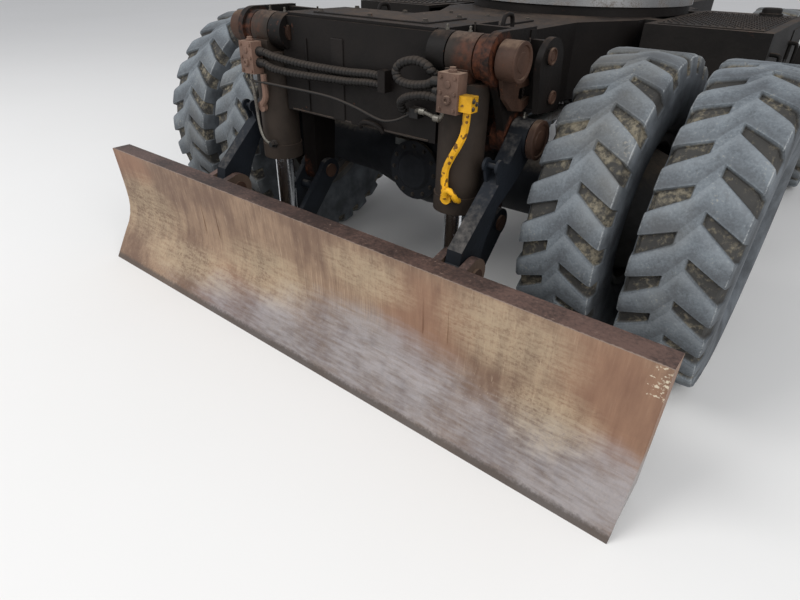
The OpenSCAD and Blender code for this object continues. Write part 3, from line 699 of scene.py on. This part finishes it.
# In metres: where each axle is behind and above the origin, and where its tyres are across
AXLE_HEIGHT = 0.53
AXLES = {"blade": (-1.08, AXLE_HEIGHT), "steer": (1.52, AXLE_HEIGHT)}
TWINS = (0.798, 1.139)
for axle, (y, z) in AXLES.items():
    for word, side in BOTH[::-1]:
        points, faces, marks = [], [], {"groove": [], "tread": [], "lug": []}
        for middle in TWINS:
            more = tyre_pitch(side * middle)
            faces += [tuple(i + len(points) for i in face) for face in more[1]]
            points += more[0]
            for mark, values in zip(marks, more[2:]):
                marks[mark] += values
        tyre = new_piece(f"tread_{axle}_{word}", points, faces)
        for mark, values in marks.items():
            layer = tyre.data.attributes.new(mark, "FLOAT", "POINT")
            layer.data.foreach_set("value", values)
        ring.grow(tyre, rubber, Copies=LUGS, Centre=(0.0, y, z))
        soften(tyre, 32)
        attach(tyre, f"wheel_{axle}_{word}")
        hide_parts(f"tyres_{axle}_{word}")

# %% [markdown]
# Each hose is a rubber core in a spiral guard, a plastic band that is wound round it. A recipe sweeps a ring
# along the route and lifts the surface where the band is, at an angle that turns with the distance along.

# %% The recipe for guarded hoses
SIDES = 14
guarded = Recipe("guarded_hose", Radius=0.012, Band=0.0025, Winding=0.02, Step=0.003)


def store(name, geometry, value):
    """Keeps a number on each point under this name."""
    return guarded.make("StoreNamedAttribute", {"Geometry": geometry, "Name": name, "Value": value},
                        data_type="FLOAT", domain="POINT")


def stored(name):
    return guarded.make("InputNamedAttribute", {"Name": name}, data_type="FLOAT")


marked = store("along", guarded.line(), guarded.make("SplineParameter", output=1))
circle = store("round", guarded.section(SIDES), guarded.make("InputIndex") * (1 / SIDES))
turns = stored("along") / guarded.size("Winding") + stored("round")
phase = guarded.make("Math", {0: turns}, operation="FRACT")
lift = phase.ramp(0.0, 0.14) * phase.ramp(1.0, 0.86) * guarded.size("Band")
outward = guarded.make("InputNormal")
push = guarded.make("VectorMath", {0: outward, "Scale": lift}, operation="SCALE")
guarded.end(guarded.make("SetPosition", {"Geometry": guarded.sweep(marked, circle), "Offset": push}))
print("The recipe for guarded hoses is ready")

# %% [markdown]
# The routes were read off the photograph. Places are counted from a cylinder's top pin, across, behind and
# above, and a smooth curve runs through them.

# %% Wind the hoses
# The cylinders' top pins, behind and above the origin, in mm
PIN = (-1610, 1060)
HOSES = [
    # name, body at its far end, side of its own cylinder, points
    ("hose_upper_left", "root", -1, [
        (411, -90, -66), (396, -90, -66), (380, -90, -66), (330, -88, -75), (210, -70, -88), (90, -52, -93),
        (0, -45, -93), (-80, -45, -88), (-125, -45, -88), (-136, -45, -88)]),
    ("hose_lower_left", "root", -1, [
        (411, -92, -104), (396, -92, -104), (380, -92, -104), (330, -92, -116), (210, -78, -123),
        (90, -55, -124), (0, -46, -122), (-80, -45, -115), (-125, -45, -115), (-136, -45, -115)]),
    ("hose_upper_right", "barrel_right", 1, [
        (411, -97, -64), (398, -97, -64), (384, -97, -64), (357, -98, -77), (301, -95, -86), (252, -90, -82),
        (231, -86, -57), (250, -82, -32), (299, -78, -20), (340, -78, -29), (358, -74, -45), (367, -60, -55),
        (379, -50, -57), (387, -50, -57), (393, -50, -57)]),
    ("hose_lower_right", "root", 1, [
        (411, -95, -109), (396, -95, -109), (380, -95, -109), (340, -95, -110), (283, -88, -124),
        (245, -76, -146), (237, -60, -168), (237, -47, -183)]),
]


def from_pin(x, y, z, side=1):
    return at(x, PIN[0] + y, PIN[1] + z, side)


def smooth_route(points, steps=6):
    """Points of a curve through a few chosen ones."""
    route = []
    for i in range(len(points) - 1):
        a, b, c, d = points[max(i - 1, 0)], points[i], points[i + 1], points[min(i + 2, len(points) - 1)]
        for k in range(steps):
            t = k / steps
            route.append(0.5 * (2 * b + (c - a) * t + (2 * a - 5 * b + 4 * c - d) * t * t
                                + (3 * b - a - 3 * c + d) * t ** 3))
    return route + [points[-1]]


for name, far_end, side, points in HOSES:
    word = "left" if side < 0 else "right"
    places = [from_pin(*point, side) for point in points]
    piece = grow_piece(name, None, guarded, guard_grey, [smooth_route(places)], 50,
                       Radius=0.0100, Band=0.0034, Winding=0.015, Step=0.002)
    if far_end == "root":
        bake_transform(piece)
    else:
        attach(piece, far_end)
    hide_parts(f"hoses_{word}")

# %% [markdown]
# The thin lines beside the hoses are plain tubes: a black one that crosses from the left cylinder to a
# connector on the front plate, a steel one from the right valve block to the same connector, one down the
# left barrel, and the bent end of the yellow tube. A recipe sweeps a round section along a route.

# %% Thin lines and tubes
plain = Recipe("plain_tube", Radius=0.006, Step=0.006)
plain.end(plain.sweep(plain.line(), plain.section(12)))

LINES = [
    # name, bodies at its ends, finish, radius in mm, points as in the routes of the hoses
    ("black_line", ("barrel_left", "root"), hose_black, 4.5, [
        (-462, -104, -142), (-470, -104, -158), (-446, -100, -172), (-394, -98, -170), (-300, -94, -171),
        (-204, -88, -172), (-64, -80, -177), (43, -72, -195), (120, -68, -215), (170, -66, -221),
        (218, -62, -210), (252, -54, -192), (268, -48, -184)]),
    ("steel_line", ("barrel_right", "root"), steel_tube, 6, [
        (424, -104, -142), (420, -104, -158), (404, -102, -166), (370, -94, -162), (330, -80, -160),
        (304, -66, -164), (290, -54, -172)]),
    ("left_line", ("barrel_left",), steel_tube, 6, [
        (-458, -100, -138), (-458, -100, -165), (-455, -99, -200), (-451, -98, -250), (-447, -98, -310),
        (-440, -98, -355), (-424, -97, -386), (-404, -92, -400), (-392, -82, -404)]),
    ("yellow_hook", ("barrel_right",), yellow, 10, [
        (446, -94, -408), (447, -98, -392), (454, -101, -380), (464, -101, -378), (474, -99, -385),
        (480, -92, -400), (481, -80, -412), (478, -66, -418)]),
]
for name, bodies, finish, radius, points in LINES:
    places = [from_pin(*point) for point in points]
    body = bodies[0] if len(bodies) == 1 else None
    piece = grow_piece(name, body, plain, finish, [smooth_route(places, 4)], 50, Radius=radius / 1000)
    if not body:
        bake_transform(piece)

# %% [markdown]
# Fittings, bosses and covers are turned or boxed shapes. Shapes that ride on one body are joined into one
# piece. They have a narrow bevel, so that edges catch light.

# %% Helpers for turned and boxed shapes
AXES = {"x": Vector((1, 0, 0)), "y": Vector((0, 1, 0)), "z": Vector((0, 0, 1))}


def add_turned(mesh, middle, axis, profile, sides=24, way=1):
    """A solid of revolution round an axis: rows are distance along it and radius, in mm."""
    turn = AXES["z"].rotation_difference(AXES[axis]).to_matrix().to_4x4()
    place = Matrix.Translation(middle) @ turn
    corners = [2 * math.pi * k / sides for k in range(sides)]
    rings = [[mesh.verts.new(place @ at(radius * math.cos(a), radius * math.sin(a), way * along))
              for a in corners] for along, radius in profile]
    for a, b in zip(rings, rings[1:]):
        for k in range(sides):
            mesh.faces.new((a[k], a[(k + 1) % sides], b[(k + 1) % sides], b[k]))
    mesh.faces.new(rings[0][::-1])
    mesh.faces.new(rings[-1])


def add_box(mesh, low, high, bevel=0.002):
    made = bmesh.ops.create_cube(mesh, size=1)
    size = high - low
    middle = (high + low) / 2
    for vert in made["verts"]:
        vert.co = Vector((vert.co.x * size.x, vert.co.y * size.y, vert.co.z * size.z)) + middle
    edges = dict.fromkeys(edge for vert in made["verts"] for edge in vert.link_edges)
    bmesh.ops.bevel(mesh, geom=list(edges), offset=bevel, segments=1, affect="EDGES")


def build(name, body, finish, turned, boxes=()):
    """One piece of boxes and turned shapes, each given by what add_box and add_turned take."""
    mesh = bmesh.new()
    for box in boxes:
        add_box(mesh, *box)
    for shape in turned:
        add_turned(mesh, *shape)
    bmesh.ops.recalc_face_normals(mesh, faces=mesh.faces)
    piece = new_piece(name, [], [], finish)
    mesh.to_mesh(piece.data)
    mesh.free()
    soften(piece, 32)
    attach(piece, body)


print("The helpers for shapes are ready")

# %% [markdown]
# The hoses are screwed into the valve blocks, which carry plugs on their fronts. The thin lines meet at a
# small connector on the front plate.

# %% Fittings of the hoses and lines
HOSE_END = [(0, 17.5), (6, 17.5), (7, 15.5), (26, 14.5), (27, 13.5), (34, 13.5)]
LINE_END = [(0, 12), (-6, 12), (-7, 8.5), (-17, 8.5), (-21, 6)]
LEFT_NUT = [(0, 16), (-12, 16), (-13, 11), (-26, 11)]
BOSSES = [
    # place, axis, rows, sides
    ((448, -122, -104), "y", [(0, 13), (-6, 13), (-8, 11), (-8, 6), (-4, 5)], 24),
    ((447, -122, -62), "y", [(0, 10), (-3, 10), (-4, 8)], 24),
    ((446, -98, -32), "z", [(0, 14), (7, 14), (8, 10), (14, 10)], 6)]
KNURL = [(-12, 8), (-11, 10.5), (9, 10.5), (10, 8)]

for word, side in BOTH:
    barrel = f"barrel_{word}"
    ends = ((-97, -64), (-95, -109)) if side > 0 else ((-90, -66), (-92, -104))
    fittings = [(from_pin(412, y, z, side), "x", HOSE_END, 18, -side) for y, z in ends]
    if side > 0:
        fittings.append((from_pin(412, -113, -86), "x", LINE_END, 18))
    else:
        fittings.append((from_pin(-392, -72, -404), "y", LEFT_NUT, 6))
    build(f"hose_fittings_{word}", barrel, hose_black, fittings)
    build(f"valve_bosses_{word}", barrel, block_brown,
          [(from_pin(*place, side), *shape) for place, *shape in BOSSES])

build("line_connector", "root", hose_black, [
    (from_pin(262, -48, -184), "x", [(0, 9), (-10, 9), (-11, 7)], 6),
    (from_pin(296, -52, -172), "x", [(0, 9), (8, 9), (9, 7)], 6)],
    [(from_pin(262, -56, -196), from_pin(296, -24.5, -164), 0.0015)])
build("line_fittings", "barrel_right", steel_tube,
      [(from_pin(*place), "x", KNURL, 12) for place in ((404, -102, -166), (336, -82, -160))])

# %% [markdown]
# Bolts are many and alike, so a recipe sets them on points. Each has a washer, a six-sided head and a
# narrower top, and the size is the one across the flats.

# %% The recipe for bolts
bolts = Recipe("hex_bolts", Size=0.010, Facing=(0.0, 0.0, 1.0))
flats = bolts.size("Size")
# Sides, and radius, height and lift for a size of 1
BOLT_DISCS = [(16, 1.35, 0.24, 0.12), (6, 1.1, 0.72, 0.58), (12, 0.82, 0.1, 0.97)]

head = bolts.make("JoinGeometry")
for sides, radius, height, lift in BOLT_DISCS:
    disc = bolts.make("MeshCylinder", {"Vertices": sides, "Radius": flats * radius, "Depth": flats * height})
    lifted = bolts.make("Transform", {
        "Geometry": disc, "Translation": bolts.make("CombineXYZ", {"Z": flats * lift})})
    bolts.tree.links.new(lifted.socket, head.socket.node.inputs[0])
facing = bolts.make("AlignRotationToVector", {"Vector": bolts.size("Facing")}, axis="Z")
spots = bolts.make("MeshToPoints", {0: bolts.source})
bolts.end(bolts.copy(head, spots, Rotation=facing))
print("The recipe for bolts is ready")

# %% [markdown]
# The tables give where the bolts sit and which way their heads face. Many sit on a circle.

# %% Set the bolts
def circle_of(middle, axis, radius, number, start=0.0):
    """Evenly spaced places on a circle round an axis."""
    turn = AXES["z"].rotation_difference(AXES[axis]).to_matrix()
    angles = [start + 2 * math.pi * k / number for k in range(number)]
    return [Vector(middle) + turn @ Vector((radius * math.cos(a), radius * math.sin(a), 0)) for a in angles]


def bolt_set(name, body, size, facing, places, finish=bolt_steel):
    grow_piece(name, body, bolts, finish, [[place] for place in places], 30, Size=size / 1000, Facing=facing)


# How far across a hub's outer face is, in metres
HUB_FACE = 1.1145
for word, side in BOTH:
    block = [from_pin(x, -122, z, side) for x in (423, 471) for z in (-43, -86, -131)]
    bolt_set(f"valve_bolts_{word}", f"barrel_{word}", 5, (0, -1, 0), block, block_brown)
    for axle, (y, z) in AXLES.items():
        cap = circle_of((side * HUB_FACE, y, z), "x", 0.092, 8, 0.2)
        bolt_set(f"cap_bolts_{axle}_{word}", f"wheel_{axle}_{word}", 9, (side, 0, 0), cap)
    axle_bolts = circle_of((side * 0.64, *AXLES["blade"]), "x", 0.135, 12, 0.1)
    bolt_set(f"axle_bolts_blade_{word}", "root", 8, (-side, 0, 0), axle_bolts)
    knuckle_bolts = circle_of((side * 0.645, *AXLES["steer"]), "x", 0.130, 10, 0.1)
    bolt_set(f"knuckle_bolts_{word}", f"knuckle_{word}", 8, (-side, 0, 0), knuckle_bolts)
FLANGE_BOLTS = [from_pin(524, y, z) for y, z in ((-102, -100), (-102, -121), (-84, -110))]
bolt_set("flange_bolts", "barrel_right", 5, (1, 0, 0), FLANGE_BOLTS)
bolt_set("swivel_bolts", "root", 10, (0, 0, 1), circle_of((0, 0.17, 1.102), "z", 0.165, 8, 0.2))
bolt_set("diff_bolts_front", "root", 7, (0, 1, 0), circle_of((0, -0.79, AXLE_HEIGHT), "y", 0.092, 10))
bolt_set("diff_bolts_rear", "root", 7, (0, -1, 0), circle_of((0, 1.23, AXLE_HEIGHT), "y", 0.092, 10))

# %% [markdown]
# A weld is a row of small overlapping drops. The recipe sets them along lines, which follow the corners
# where plates meet.

# %% Welds
welds = Recipe("weld_bead", Radius=0.004, Step=0.0055)
drop = welds.make("MeshUVSphere", {"Segments": 8, "Rings": 5, "Radius": welds.size("Radius")})
spots = welds.make("CurveToPoints", {0: welds.line()}, mode="EVALUATED")
welds.end(welds.copy(drop, spots))

# The blade's face from its edge up: distance behind the edge and height, in metres
BLADE_FACE = [(0.071, 0.118), (0.098, 0.160), (0.113, 0.195), (0.122, 0.235), (0.125, 0.270),
              (0.124, 0.320), (0.118, 0.414), (0.110, 0.500)]
EDGE = -2.05
BACK = EDGE + 0.018
rib_lines, ear_lines, frame_lines = [], [], []


def upright(lines, xs, y, heights):
    """Adds a line up a plate at each of these places across, on the side that is being built."""
    lines += [[(side * x, y, z) for z in heights] for x in xs]


for word, side in BOTH:
    for x in (0.150, 0.162, 0.700, 0.712, 0.960, 0.972):
        rib_lines.append([(side * x, BACK + y + 0.001, z) for y, z in BLADE_FACE])
    upright(ear_lines, (0.512, 0.540, 0.606, 0.634), EDGE + 0.194, (0.21, 0.30, 0.40, 0.45))
    upright(ear_lines, (0.394, 0.470), EDGE + 0.194, (0.10, 0.14, 0.20))
    upright(frame_lines, (0.5135, 0.5425, 0.605), EDGE + 0.599, (0.92, 1.00, 1.10))
    upright(frame_lines, (0.3495,), EDGE + 0.599, (0.80, 0.95, 1.13))
    for y, z in ((EDGE + 0.4155, 0.794), (EDGE + 0.435, 1.117)):
        frame_lines.append([(side * x, y, z) for x in (0.02, 0.16, 0.318)])
    upright(frame_lines, (0.349,), -1.301, (0.80, 0.95, 1.07))
grow_piece("blade_welds", "blade", welds, rusty, rib_lines, 60, Radius=0.005)
grow_piece("ear_welds", "blade", welds, rusty, ear_lines, 60, Radius=0.005)
grow_piece("frame_welds", "root", welds, weld_steel, frame_lines, 60, Radius=0.004)

# %% [markdown]
# The plain plates carry what such a machine has on them: doors with hinges and a catch on the side boxes,
# slats at their rear, a filler cap, and covers and a tow jaw on the frame. The tables give ranges across,
# along and up, in mm, and the left side mirrors the right one.

# %% Doors and covers
def slabs(ranges, side=1):
    """The corners of plates that span these ranges in mm, mirrored for the left side."""
    return [(at(min(side * x[0], side * x[1]), y[0], z[0]), at(max(side * x[0], side * x[1]), y[1], z[1]))
            for x, y, z in ranges]


DOOR = [((1037, 1045), (165, 535), (500, 1050)), ((1044, 1048), (205, 495), (560, 990)),
        ((1044, 1054), (500, 522), (742, 822))]
SLATS = [((630, 970), (556, 566), (z, z + 16)) for z in range(600, 961, 36)]
BOX_TOP = [((600, 1000), (-400, 520), (1076, 1084))]
FILLER_CAP = [(0, 52), (12, 52), (14, 44), (30, 44), (36, 38)]
for word, side in BOTH:
    hinges = [(at(1046, 160, z, side), "z", [(0, 9), (70, 9)], 12) for z in (580, 930)]
    cap = (at(900, 400, 1084, side), "z", FILLER_CAP, 20)
    build(f"box_panels_{word}", "root", box_dark_and_shade, [*hinges, cap], slabs(DOOR + SLATS + BOX_TOP, side))

COVERS = [((-210, 210), (-1210, -760), (1078, 1087)), ((-215, 215), (960, 1520), (1078, 1087)),
          ((-200, 200), (1834, 1848), (840, 1020)), ((-60, -38), (1840, 1915), (800, 900)),
          ((38, 60), (1840, 1915), (800, 900)), ((-228, -222), (-1641, -1634), (800, 1050)),
          ((-102, -46), (-1640, -1634), (794, 1062)), ((-250, 250), (-1570, -1340), (1121, 1130))]
TOW_PIN = [(at(-75, 1890, 850), "x", [(0, 17), (150, 17)], 16)]
build("frame_covers", "root", charcoal_and_shade, TOW_PIN, slabs(COVERS))
build("axle_tab", "root", tab_grey, [], slabs([((-120, -40), (-1256, -1225), (616, 645))]))

# %% [markdown]
# The pin caps have raised rims and dished middles. Bolts hold the covers on the frame.

# %% Rims of the pin caps and bolts of the covers
# Place in mm and radius of each cap, and the rows of a rim for a radius of 1
CAPS = [((605, *PIN), 55), ((628, -1470, 820), 62), ((632, -1478, 1065), 24),
        ((632, -1435, 945), 20)]
CAP_RIM = [(-2, 0.995), (5, 0.995), (6.5, 0.96), (6.5, 0.82), (2, 0.78), (2, 0.5), (4, 0.47)]
for word, side in BOTH:
    build(f"cap_rims_{word}", "root", cap_brown, [
        (at(*place, side), "x", [(along, radius * share) for along, share in CAP_RIM], 28, side)
        for place, radius in CAPS])

COVER_BOLTS = [
    # places across and along, and height
    ((-0.190, 0, 0.190), (-1.190, -0.985, -0.780), 1.087),
    ((-0.195, 0, 0.195), (0.985, 1.240, 1.495), 1.087), ((-0.23, 0, 0.23), (-1.55, -1.36), 1.130)]
cover_bolts = [(x, y, z) for xs, ys, z in COVER_BOLTS for x in xs for y in ys]
bolt_set("cover_bolts", "root", 8, (0, 0, 1), cover_bolts)
rear_bolts = [(x, 1.848, z) for x in (-0.18, 0.18) for z in (0.86, 0.93, 1.0)]
bolt_set("rear_bolts", "root", 8, (0, 1, 0), rear_bolts)

# %% [markdown]
# Studs keep a boot from slipping on the steps and on the boxes. The recipe sets one small bead on each
# point of a grid, whose rows are staggered.

# %% Studs
studs = Recipe("anti_slip_studs", Radius=0.005)
bead = studs.make("MeshCone", {
    "Vertices": 8, "Radius Top": studs.size("Radius") * 0.6, "Radius Bottom": studs.size("Radius"),
    "Depth": 0.004})
studs.end(studs.copy(bead, studs.make("MeshToPoints", {0: studs.source})))
STUDDED = [
    # height, first and last X, first and last Y, pitch, in mm
    (1084, 620, 980, -380, 340, 30), (545, 1052, 1112, -285, 105, 15), (825, 1052, 1112, -285, 105, 15)]
for word, side in BOTH:
    points = []
    for z, x0, x1, y0, y1, pitch in STUDDED:
        for row, y in enumerate(range(y0, y1 + 1, pitch)):
            points += [(side * (x + pitch / 2 * (row % 2)) / 1000, y / 1000, (z + 1.5) / 1000)
                       for x in range(x0, x1 + 1, pitch)]
    grow_piece(f"studs_{word}", "root", studs, box_dark_and_shade, [[point] for point in points], 30)

# %% [markdown]
# Hoses run from the swivel under the frame to both axles, brake pipes run along the axles, and bent bars
# make the tie-down eyes, the handles and a small arch on the front plate. Routes are in mm, on the right
# side, and are mirrored for the left one.

# %% Pipes, eyes and handles
SUPPLY = [[(60, 100, 700), (110, 0, 722), (130, -300, 745), (120, -700, 745), (130, -880, 720),
           (150, -960, 705)],
          [(60, 240, 700), (190, 330, 740), (230, 600, 748), (200, 1000, 745), (150, 1220, 735),
           (130, 1330, 700), (120, 1400, 660)]]
PIPES = [[(150, -960, 705), (260, -1000, 672), (360, -1010, 652), (560, -1010, 645), (640, -1010, 635)],
         [(120, 1400, 660), (220, 1420, 640), (400, 1430, 615), (490, 1440, 600)]]
EYES = [[(x, y - 35, 1076), (x, y - 33, 1110), (x, y - 20, 1130), (x, y + 20, 1130), (x, y + 33, 1110),
         (x, y + 35, 1076)] for x, y in ((290, -1130), (280, 1700))]
HANDLES = [[(1040, y, 880), (1068, y, 882), (1076, y, 895), (1076, y, 985), (1068, y, 998),
            (1040, y, 1000)] for y in (-360, 140)]
ARCH = [(28, -1637, 786), (36, -1644, 800), (60, -1650, 812), (100, -1650, 812), (124, -1644, 800),
        (132, -1637, 786)]


def both_sides(routes):
    return [[(side * x, y, z) for x, y, z in route] for _, side in BOTH for route in routes]


def bend(name, recipe, finish, routes, steps=4, **sizes):
    """One piece of the frame, with a tube along each route."""
    smooth = [smooth_route([at(*place) for place in route], steps) for route in routes]
    grow_piece(name, "root", recipe, finish, smooth, 50, **sizes)


bend("supply_hoses", guarded, guard_grey, both_sides(SUPPLY), 6, Radius=0.009, Band=0.0022,
     Winding=0.02, Step=0.004)
bend("brake_pipes", plain, steel_tube, both_sides(PIPES), Radius=0.0045)
bend("tie_down_eyes", plain, charcoal_and_shade, both_sides(EYES) + [ARCH], Radius=0.008)
bend("box_handles", plain, box_dark_and_shade, both_sides(HANDLES), Radius=0.008)

# %% [markdown]
# The axles have round covers, the shafts have crosses at their joints, the kingpins have caps, and each
# hub has two plugs. These are what such a machine has, since the photograph doesn't show them.

# %% Trim of the axles, shafts and hubs
COVER_DISC = [(0, 125), (16, 125), (18, 121), (18, 85), (30, 70), (30, 30)]
REAR_DISC = [(along, 0.84 * radius) for along, radius in COVER_DISC]
build("axle_covers", "root", axle_grey, [
    (at(0, -1262, 530), "y", COVER_DISC, 32, -1), (at(0, 1668, 530), "y", REAR_DISC, 32)])
for word, facing, y, radius in (("front", -1, -1.280, 0.105), ("rear", 1, 1.686, 0.089)):
    cover_ring = circle_of((0, y, AXLE_HEIGHT), "y", radius, 12)
    bolt_set(f"axle_cover_bolts_{word}", "root", 7, (0, facing, 0), cover_ring)

PIN_ROWS = [(0, 13), (104, 13)]
build("shaft_crosses", "root", machined, [
    (middle, axis, PIN_ROWS, 12) for y in (-700, 180, 660, 1140)
    for axis, middle in (("x", at(-52, y, 530)), ("z", at(0, y, 478)))])

KINGPIN_TOP = [(0, 42), (7, 42), (9, 36), (9, 12), (16, 12)]
KINGPIN_FOOT = [(0, 42), (-7, 42), (-9, 36)]
# How far behind the middle each plug is, its radius and its height, in mm
PLUGS = [(0, 20, 10), (50, 13, 8)]
for word, side in BOTH:
    build(f"kingpin_caps_{word}", f"knuckle_{word}", axle_grey, [
        (at(585, 1520, 688, side), "z", KINGPIN_TOP), (at(585, 1520, 372, side), "z", KINGPIN_FOOT)])
    for axle, (y, z) in AXLES.items():
        build(f"hub_plugs_{axle}_{word}", f"wheel_{axle}_{word}", bolt_steel, [
            ((side * HUB_FACE, y - behind / 1000, z), "x", [(-2, radius), (high, radius)], 6, side)
            for behind, radius, high in PLUGS])

# %% [markdown]
# Grease nipples stand on the pins' bosses and eyes.

# %% Grease nipples
NIPPLE = [(-2, 6), (5, 6), (6, 3.5), (12, 3.5), (14, 4.5), (17, 2)]
GREASED = [(573, -1480, 884), (433, PIN[0], 1121), (354, PIN[0], 1121), (513, -1470, 879)]
for word, side in BOTH:
    build(f"grease_nipples_{word}", "root", steel_tube,
          [(at(*place, side), "z", NIPPLE, 8) for place in GREASED])
